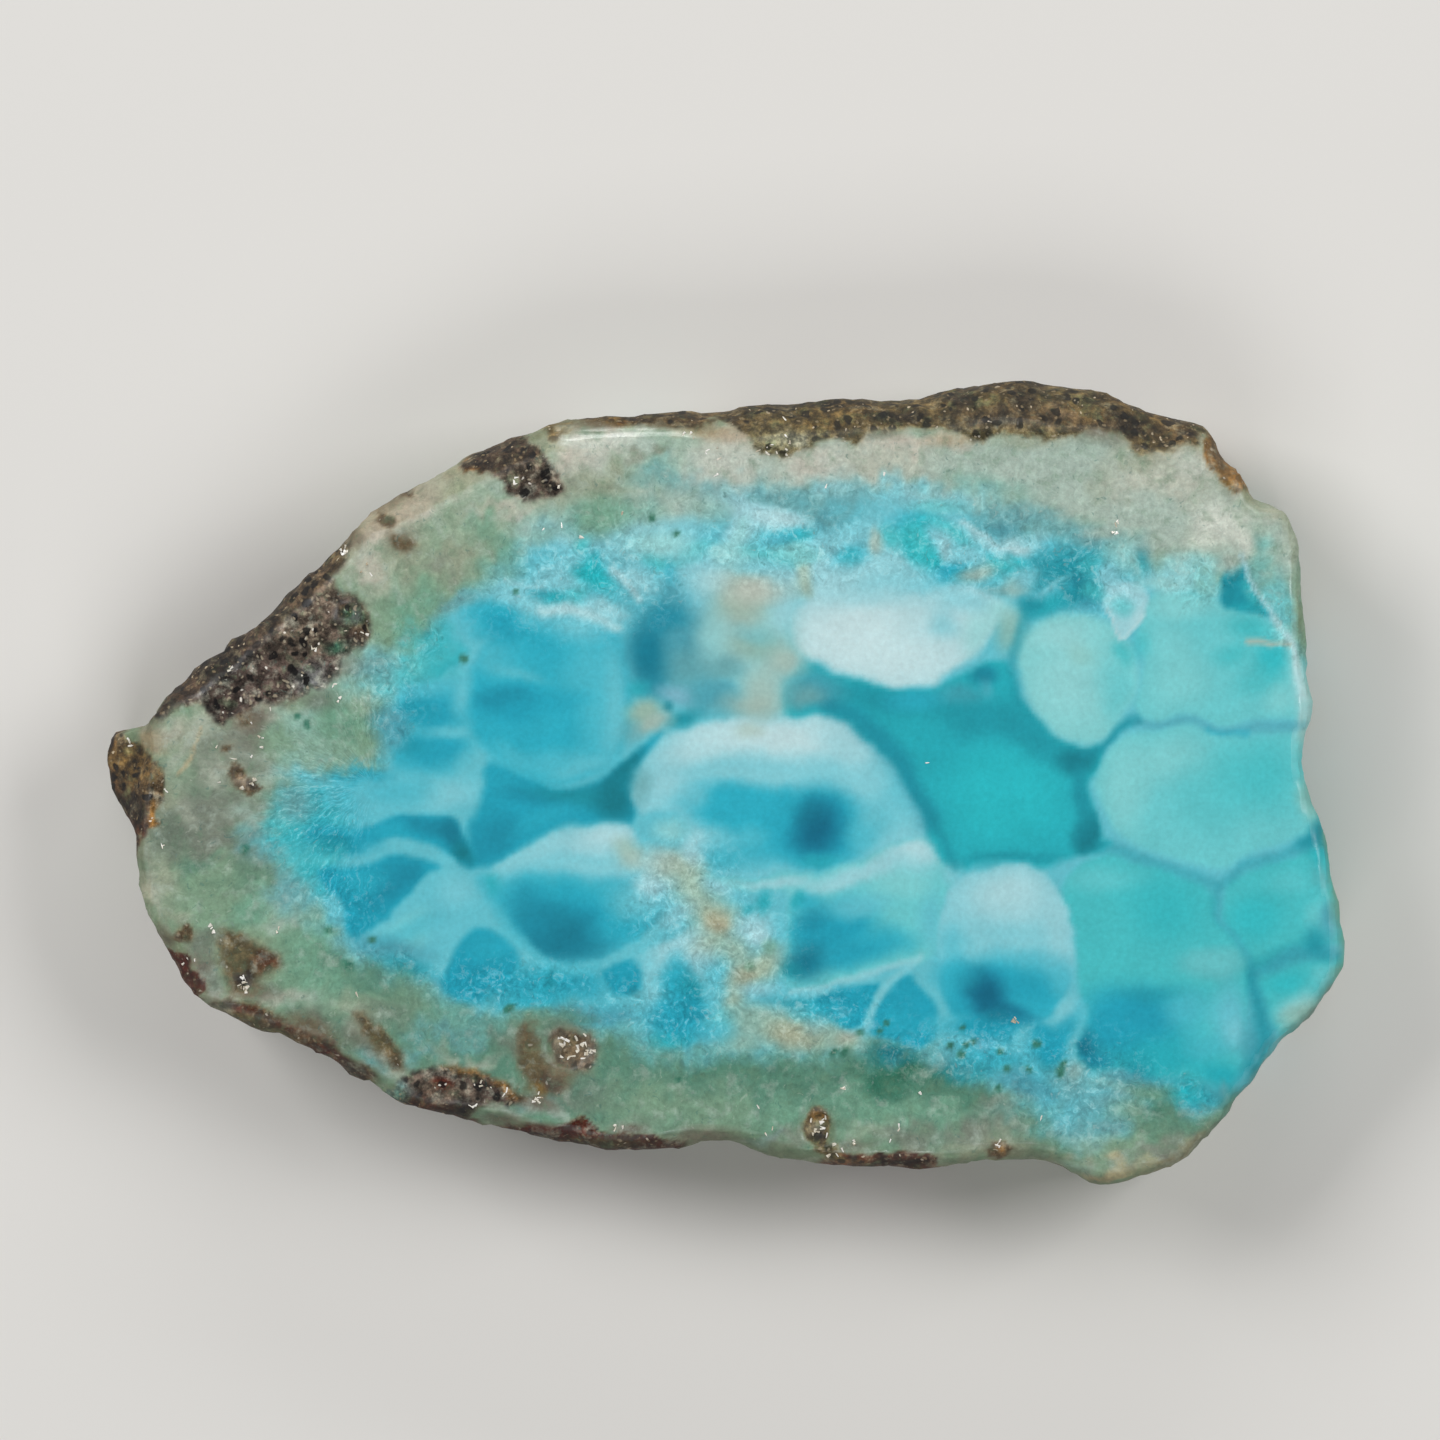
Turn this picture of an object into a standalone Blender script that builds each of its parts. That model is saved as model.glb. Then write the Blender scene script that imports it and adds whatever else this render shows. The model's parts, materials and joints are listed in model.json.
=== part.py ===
"""A polished slice of larimar, blue pectolite with its host rock still on the rim.

The stone lies on its flat back. X runs along its length, Y across it, Z up through its thickness, and the
origin is under the middle of its bounding box, on the face that it rests on. It is one natural piece, so it
is one solid: an outline with a rounded, uneven rim, a flat polished face, a broken knob and the pits of the
host rock.
"""

import math

import bmesh
import bpy
from mathutils import Vector, noise

MM = 0.001

# Driving sizes, in millimetres
SLAB_LENGTH = 60.0
SLAB_THICKNESS = 8.0

# Spacing of the stations along the outline
STATION_STEP = 0.72

# The rim falls away from the polished face this many times as far as it is wide
FRONT_DROP = 1.2
FRONT_DROP_MOST = 3.6
# The rim under the stone is narrower than the one round the polished face
BACK_RIM = 0.6
BACK_DROP = 0.7
FRONT_RIM_STEPS = 6
BACK_RIM_STEPS = 2
WALL_STEPS = 6

# Lumps and hollows of the rind, from crest to crest
RIND_LUMP = 3.2

LARIMAR_BLUE = (0.098, 0.434, 0.497, 1.0)
POLISHED_ROUGHNESS = 0.18

CORNER = "corner"

# The outline seen from above, clockwise from the left tip. Each stretch has the width of its rounded rim,
# the depth of its rind's hollows, how far its wall has leaned in by the resting face, and its points, x and
# y, with a mark where the stone turns sharply.
OUTLINE = (
    # Knob of host rock at the left tip, with a small step above it
    (0.8, 0.50, 0.7, ((-30.0, 1.1), (-29.7, 2.3), (-28.6, 2.8), (-27.7, 3.1, CORNER), (-27.7, 3.8, CORNER))),
    # Slanting edge of host rock
    (1.5, 0.60, 1.4, ((-26.2, 5.2), (-23.3, 7.5), (-20.4, 10.0), (-17.5, 12.8))),
    # Shoulder that was rounded and polished over
    (2.2, 0.20, 1.8, ((-15.5, 14.2), (-12.6, 15.8), (-9.7, 17.1), (-6.8, 17.8), (-3.0, 18.0))),
    # Long upper edge, a thick band of host rock
    (2.5, 0.40, 1.2, ((0.0, 18.1), (1.9, 18.5), (6.7, 18.6), (9.6, 18.8))),
    (2.9, 0.60, 0.8, ((11.6, 19.3), (15.4, 19.4), (18.3, 18.9), (20.3, 18.1), (22.2, 17.7))),
    (1.4, 0.30, 0.5, ((23.4, 17.1), (24.0, 16.2, CORNER))),
    # Chip broken from the upper right, with its spur
    (0.4, 0.15, 0.2, ((24.4, 14.7, CORNER), (24.9, 15.0, CORNER), (25.6, 13.5, CORNER))),
    # Right edge, cut and ground, with a shallow bulge
    (0.5, 0.06, 0.3, ((27.0, 13.0), (27.5, 12.5), (28.0, 8.9), (28.2, 4.9), (28.5, 3.5), (28.0, 1.5))),
    (0.5, 0.06, 0.5, ((28.5, -0.9), (29.0, -2.3), (29.6, -5.4), (30.0, -8.0), (29.8, -9.2))),
    # Lower right facet, sawn and ground
    (0.5, 0.08, 0.2, ((28.2, -11.4), (27.0, -12.3), (25.6, -14.3), (23.2, -17.2), (21.9, -18.3))),
    # Wavy lower edge
    (1.0, 0.25, 0.7, ((18.5, -19.4), (16.3, -18.6), (14.8, -18.2), (12.6, -18.3), (10.9, -18.6))),
    (1.1, 0.35, 1.2, ((7.5, -18.7), (3.9, -18.4), (-0.2, -17.4), (-3.6, -17.9), (-5.6, -18.0))),
    # Crust of red clay and host rock, left as it broke
    (1.2, 0.65, 1.7, ((-9.9, -16.9), (-14.5, -15.9), (-17.5, -14.4), (-20.4, -12.8), (-24.2, -11.3))),
    (0.7, 0.35, 0.9, ((-25.6, -10.5, CORNER), (-26.7, -8.5))),
    # Left edge, up to the notch under the knob
    (0.6, 0.15, 0.6, ((-28.0, -6.0), (-28.6, -3.6), (-28.4, -2.6, CORNER))),
    (0.7, 0.45, 0.7, ((-29.4, -0.9),)),
)

# Hollows in the polished face: x, y, radius along and across, turned by degrees, and depth
FRONT_PITS = (
    # The knob's face, broken off below the polish
    (-30.1, 0.4, 2.50, 3.40, -8, 2.0),
    # The crust's edge, broken off where the red clay is
    (-26.8, -9.3, 1.20, 2.10, 28, 1.0),
    # Gas bubbles of the host rock by the slanting edge
    (-24.2, 6.0, 0.65, 0.55, 20, 0.6),
    (-18.1, 8.3, 0.60, 0.50, 60, 0.5),
    (-19.2, 6.7, 0.55, 0.35, 20, 0.4),
    (-21.6, 4.9, 0.60, 0.35, -25, 0.3),
    (-23.2, 3.2, 0.55, 0.35, 10, 0.3),
    (-24.5, 1.8, 0.45, 0.35, 0, 0.3),
    # Open pockets that crystals line
    (-23.2, 0.2, 0.70, 0.50, -35, 0.5),
    (-23.2, -9.6, 0.60, 0.50, 0, 0.5),
    (-7.5, -12.7, 0.95, 0.85, 70, 0.8),
    (4.6, -16.6, 0.95, 0.60, 100, 0.7),
    # A crack in the crust, and a pit beside it
    (-16.2, -12.9, 1.00, 0.28, -55, 0.4),
    (-9.1, -15.5, 0.50, 0.35, -10, 0.5),
    # In the patch of host rock on the rounded shoulder
    (-9.6, 14.5, 0.55, 0.40, -30, 0.4),
)

# Hollows under the stone
BACK_PITS = (
    (-20.8, 5.6, 0.70, 0.55, 30, 0.5),
    (-19.6, -8.8, 0.60, 0.50, 0, 0.4),
    (6.2, 14.2, 0.75, 0.50, 80, 0.5),
    (1.8, -14.2, 0.65, 0.50, 110, 0.4),
)


def clear_scene():
    for obj in list(bpy.data.objects):
        bpy.data.objects.remove(obj)


def outline_points():
    """The outline's points as (place, (rim width, rind depth, lean), whether it is a corner)."""
    points = []
    for rim, rind, lean, stretch in OUTLINE:
        for x, y, *mark in stretch:
            points.append((Vector((x, y)), Vector((rim, rind, lean)), CORNER in mark))
    return points


def tangent(before, here, after):
    """The curve's direction at a smooth point, per millimetre."""
    return (after - before) / ((after - here).length + (here - before).length)


def stations():
    """Places along the outline with their rim width, rind depth and lean: a smooth curve between the corners."""
    points = outline_points()
    count = len(points)
    still = Vector((0.0, 0.0))
    found = []
    for i in range(count):
        before, here, after, beyond = (points[(i + k) % count] for k in (-1, 0, 1, 2))
        chord = (after[0] - here[0]).length
        leaving = still if here[2] else tangent(before[0], here[0], after[0]) * chord
        arriving = still if after[2] else tangent(here[0], after[0], beyond[0]) * chord
        steps = max(1, round(chord / STATION_STEP))
        for step in range(steps):
            t = step / steps
            place = (
                here[0] * (2 * t**3 - 3 * t**2 + 1)
                + leaving * (t**3 - 2 * t**2 + t)
                + after[0] * (3 * t**2 - 2 * t**3)
                + arriving * (t**3 - t**2)
            )
            found.append((place, here[1].lerp(after[1], t)))
    return found


def inward_normals(places, reach=3):
    """Unit vectors into the stone at each station, averaged over a few neighbours so that the rim doesn't fold."""
    count = len(places)
    normals = []
    for i in range(count):
        along = Vector((0.0, 0.0))
        for k in range(1, reach + 1):
            along += (places[(i + k) % count] - places[(i - k) % count]).normalized()
        along.normalize()
        normals.append(Vector((along.y, -along.x)))
    return normals


def rim_steps():
    """The rings from the resting face up: the part each is in, its share of that part's inset and height, and
    its share of the rind's hollows."""
    rings = []
    for step in range(BACK_RIM_STEPS):
        angle = math.pi / 2 * step / BACK_RIM_STEPS
        rings.append(("back", 1 - math.sin(angle), 1 - math.cos(angle), math.sin(angle)))
    for step in range(WALL_STEPS + 1):
        rings.append(("wall", 0.0, step / WALL_STEPS, 1.0))
    for step in range(1, FRONT_RIM_STEPS + 1):
        angle = math.pi / 2 * step / FRONT_RIM_STEPS
        rings.append(("front", 1 - math.cos(angle), math.sin(angle), math.cos(angle) ** 2))
    return rings


def ring_height(part, share, rim):
    """The height of a ring in millimetres, where the rim is this wide."""
    back = rim * BACK_RIM * BACK_DROP
    front = min(rim * FRONT_DROP, FRONT_DROP_MOST)
    if part == "back":
        return back * share
    if part == "wall":
        return back + (SLAB_THICKNESS - front - back) * share
    return SLAB_THICKNESS - front * (1 - share)


def rind_hollow(place, height, depth):
    """How far the rind is sunk into the stone here: lumps, with smaller ones on them."""
    at = Vector((place.x, place.y, height)) / RIND_LUMP
    rough = 0.45 + 0.9 * noise.noise(at) + 0.45 * noise.noise(at * 2.6)
    return depth * min(max(rough, 0.0), 1.3)


def drawn_rings():
    """Every ring of the rim, as the outline is drawn, in millimetres."""
    found = stations()
    normals = inward_normals([place for place, _ in found])
    rings = []
    for part, inset_share, height_share, hollow_share in rim_steps():
        ring = []
        for (place, (rim, rind, lean)), inward in zip(found, normals):
            height = ring_height(part, height_share, rim)
            inset = inset_share * rim * (BACK_RIM if part == "back" else 1.0)
            inset += lean * (1 - height / SLAB_THICKNESS) ** 1.5
            inset += hollow_share * rind_hollow(place, height, rind)
            at = place + inward * inset
            ring.append(Vector((at.x, at.y, height)))
        rings.append(ring)
    return rings


def fit_to_length(rings):
    """The middle of the drawn stone, and the scale across its face that makes it SLAB_LENGTH long."""
    xs = [at.x for ring in rings for at in ring]
    ys = [at.y for ring in rings for at in ring]
    middle = Vector(((max(xs) + min(xs)) / 2, (max(ys) + min(ys)) / 2, 0.0))
    return middle, SLAB_LENGTH / (max(xs) - min(xs))


def slab_mesh(name, rings, middle, scale):
    """The stone without its pits: the rings bridged, with a flat face above and below."""
    bm = bmesh.new()
    loops = []
    for ring in rings:
        placed = [(at - middle) * scale for at in ring]
        loops.append([bm.verts.new((p.x * MM, p.y * MM, at.z * MM)) for p, at in zip(placed, ring)])
    for lower, upper in zip(loops, loops[1:]):
        for i in range(len(lower)):
            bm.faces.new((lower[i - 1], upper[i - 1], upper[i], lower[i]))
    bm.faces.new(loops[0])
    bm.faces.new(reversed(loops[-1]))
    bmesh.ops.recalc_face_normals(bm, faces=bm.faces)
    mesh = bpy.data.meshes.new(name)
    bm.to_mesh(mesh)
    bm.free()
    return mesh


def larimar_material():
    material = bpy.data.materials.new("polished larimar")
    material.use_nodes = True
    shader = material.node_tree.nodes["Principled BSDF"]
    shader.inputs["Base Color"].default_value = LARIMAR_BLUE
    shader.inputs["Roughness"].default_value = POLISHED_ROUGHNESS
    shader.inputs["Metallic"].default_value = 0.0
    return material


def pit_cutter(number, place, radii, turn, collection):
    """A lumpy ball that cuts one hollow."""
    bm = bmesh.new()
    bmesh.ops.create_icosphere(bm, subdivisions=3 if max(radii) > 1.5 else 2, radius=1.0)
    for vertex in bm.verts:
        lump = 1 + 0.28 * noise.noise(vertex.co * 1.3 + place)
        vertex.co = Vector([lump * c * radius * MM for c, radius in zip(vertex.co, radii)])
    mesh = bpy.data.meshes.new(f"pit_cutter_{number}")
    bm.to_mesh(mesh)
    bm.free()
    cutter = bpy.data.objects.new(mesh.name, mesh)
    cutter.location = place * MM
    cutter.rotation_euler = (0.0, 0.0, math.radians(turn))
    cutter.hide_render = True
    cutter.display_type = "WIRE"
    collection.objects.link(cutter)


def add_pits(slab, middle, scale):
    cutters = bpy.data.collections.new("pit cutters")
    bpy.context.scene.collection.children.link(cutters)
    pits = [(pit, SLAB_THICKNESS) for pit in FRONT_PITS] + [(pit, 0.0) for pit in BACK_PITS]
    for number, ((x, y, along, across, turn, depth), height) in enumerate(pits):
        place = (Vector((x, y, 0.0)) - middle) * scale + Vector((0.0, 0.0, height))
        pit_cutter(number, place, (along * scale, across * scale, depth), turn, cutters)
    cut = slab.modifiers.new("pits", "BOOLEAN")
    cut.operation = "DIFFERENCE"
    cut.solver = "EXACT"
    cut.operand_type = "COLLECTION"
    cut.collection = cutters


def larimar_slab():
    rings = drawn_rings()
    middle, scale = fit_to_length(rings)
    mesh = slab_mesh("larimar_slab", rings, middle, scale)
    mesh.materials.append(larimar_material())
    mesh.shade_smooth()
    mesh.set_sharp_from_angle(angle=math.radians(35))
    slab = bpy.data.objects.new("larimar_slab", mesh)
    bpy.context.scene.collection.objects.link(slab)
    add_pits(slab, middle, scale)
    return slab


def main():
    clear_scene()
    larimar_slab()


main()
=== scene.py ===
"""Dress the packed larimar slab: polished stone, pit crystals and a plain studio."""

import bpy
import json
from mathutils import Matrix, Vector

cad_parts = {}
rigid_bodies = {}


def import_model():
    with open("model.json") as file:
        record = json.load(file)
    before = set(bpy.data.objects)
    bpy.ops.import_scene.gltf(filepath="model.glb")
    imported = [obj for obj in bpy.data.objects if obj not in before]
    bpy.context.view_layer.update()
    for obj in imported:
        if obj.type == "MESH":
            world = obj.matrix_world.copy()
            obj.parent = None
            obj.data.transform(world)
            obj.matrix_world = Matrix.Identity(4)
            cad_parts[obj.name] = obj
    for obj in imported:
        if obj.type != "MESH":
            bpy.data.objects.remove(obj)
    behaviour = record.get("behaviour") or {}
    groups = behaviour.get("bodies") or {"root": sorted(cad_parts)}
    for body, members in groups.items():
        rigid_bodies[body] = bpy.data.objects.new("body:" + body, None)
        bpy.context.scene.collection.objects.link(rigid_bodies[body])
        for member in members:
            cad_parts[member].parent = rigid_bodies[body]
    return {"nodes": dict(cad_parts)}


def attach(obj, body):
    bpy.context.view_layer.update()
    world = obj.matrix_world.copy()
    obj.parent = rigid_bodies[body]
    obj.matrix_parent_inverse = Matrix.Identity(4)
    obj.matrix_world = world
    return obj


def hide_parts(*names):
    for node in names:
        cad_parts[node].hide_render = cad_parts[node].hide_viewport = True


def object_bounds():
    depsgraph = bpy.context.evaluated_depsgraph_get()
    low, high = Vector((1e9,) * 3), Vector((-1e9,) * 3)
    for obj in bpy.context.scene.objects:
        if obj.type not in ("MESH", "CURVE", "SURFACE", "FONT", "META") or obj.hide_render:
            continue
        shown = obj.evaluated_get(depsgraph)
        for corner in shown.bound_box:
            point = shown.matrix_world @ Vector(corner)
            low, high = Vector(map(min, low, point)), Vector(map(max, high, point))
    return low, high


bl_info = {
    "name": "Larimar Slab",
    "version": (1, 0, 0),
    "blender": (4, 5, 0),
    "location": "3D View > Sidebar > Larimar",
    "description": "Dresses a polished larimar slab and sets it under studio light",
    "category": "Add Mesh",
}

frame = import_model()

import json
import math
import random

import bpy
import numpy as np

CAD_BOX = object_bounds()
SLAB = "larimar_slab"
MM = 0.001
FACE_HEIGHT = CAD_BOX[1][2] / MM

# Colours of the stone, as sRGB hex, each with the place where the eye meets it
TINTS = {
    "core": ("126a86", "darkest blue, at the heart of a cell"),
    "ink": ("187c92", "dark blue shadow inside a cell"),
    "deep": ("1d8ca3", "deep blue of the wedges on the left"),
    "blue": ("22a0b7", "the blue that larimar is known for"),
    "azure": ("2dadc2", "clear middle blue"),
    "sky": ("4fb9c9", "lighter blue towards a cell's rim"),
    "haze": ("64bfcc", "soft blue between the cells"),
    "pale": ("83cbd5", "pale blue inside the white cells"),
    "ice": ("9dd2d9", "bluish white of the crowns"),
    "milk": ("b5dade", "milky white"),
    "white": ("c6e0e2", "whitest pectolite"),
    "node": ("177c8a", "dark green-blue corner where cells meet"),
    "petrol": ("1e91a0", "dark line between cells"),
    "teal": ("27abb7", "green-blue of the large bay"),
    "lagoon": ("2bb8c1", "bright green-blue at the right"),
    "aqua": ("49bdc2", "light green-blue"),
    "seafoam": ("6bc8cc", "pale green-blue of the right cells"),
    "mint": ("83cfd0", "paler still, towards their rims"),
    "foam": ("99d4d4", "whitish heart of the round cell"),
    "pine": ("33705b", "dark green in the lower border"),
    "fern": ("4f7f6b", "green under the blue"),
    "moss": ("72a088", "grey-green"),
    "sage": ("809e84", "ground colour of the border"),
    "lichen": ("959f89", "yellowish grey-green"),
    "celadon": ("8db4a7", "pale green-grey next to the blue"),
    "dusk": ("4b9cab", "smoky blue"),
    "slate": ("69a4a8", "grey-blue veil"),
    "fog": ("a8baae", "pale grey veil"),
    "ash": ("80887a", "dull grey in the border"),
    "chalk": ("b5baab", "chalky white of the border"),
    "bone": ("c8cec2", "white knobs and glints"),
    "shell": ("bfb9ab", "pinkish white next to the host rock"),
    "cream": ("a7b69e", "greenish cream cloud"),
    "tan": ("a8987a", "tan stain"),
    "straw": ("b4a685", "yellow-white rim"),
    "umber": ("645843", "brown stain"),
    "olive": ("706c4e", "olive host rock"),
    "khaki": ("86794f", "yellowed host rock"),
    "ochre": ("95733b", "orange-brown edge of the host rock"),
    "rust": ("5c3729", "red-brown clay"),
    "clay": ("46180f", "dark red clay"),
    "bark": ("463f2d", "blackish olive skin of the host rock"),
    "soot": ("2c2825", "near-black grains"),
    "basalt": ("524a46", "purple-grey host rock"),
    "granite": ("6c665a", "lighter grain of the host rock"),
    "jade": ("5d8975", "green-grey of the lower border"),
    "drab": ("6c786a", "dull green-grey at the left tip"),
    "reed": ("98aa93", "light grey-green"),
    "pearl": ("bcc2b6", "whitish grey at the top"),
    "lilac": ("86b4c6", "faint lilac bloom"),
}


def linear(code):
    """The linear colour of an sRGB hex code."""
    parts = [int(code[i:i + 2], 16) / 255 for i in (0, 2, 4)]
    return tuple(c / 12.92 if c <= 0.04045 else ((c + 0.055) / 1.055) ** 2.4 for c in parts)


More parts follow.
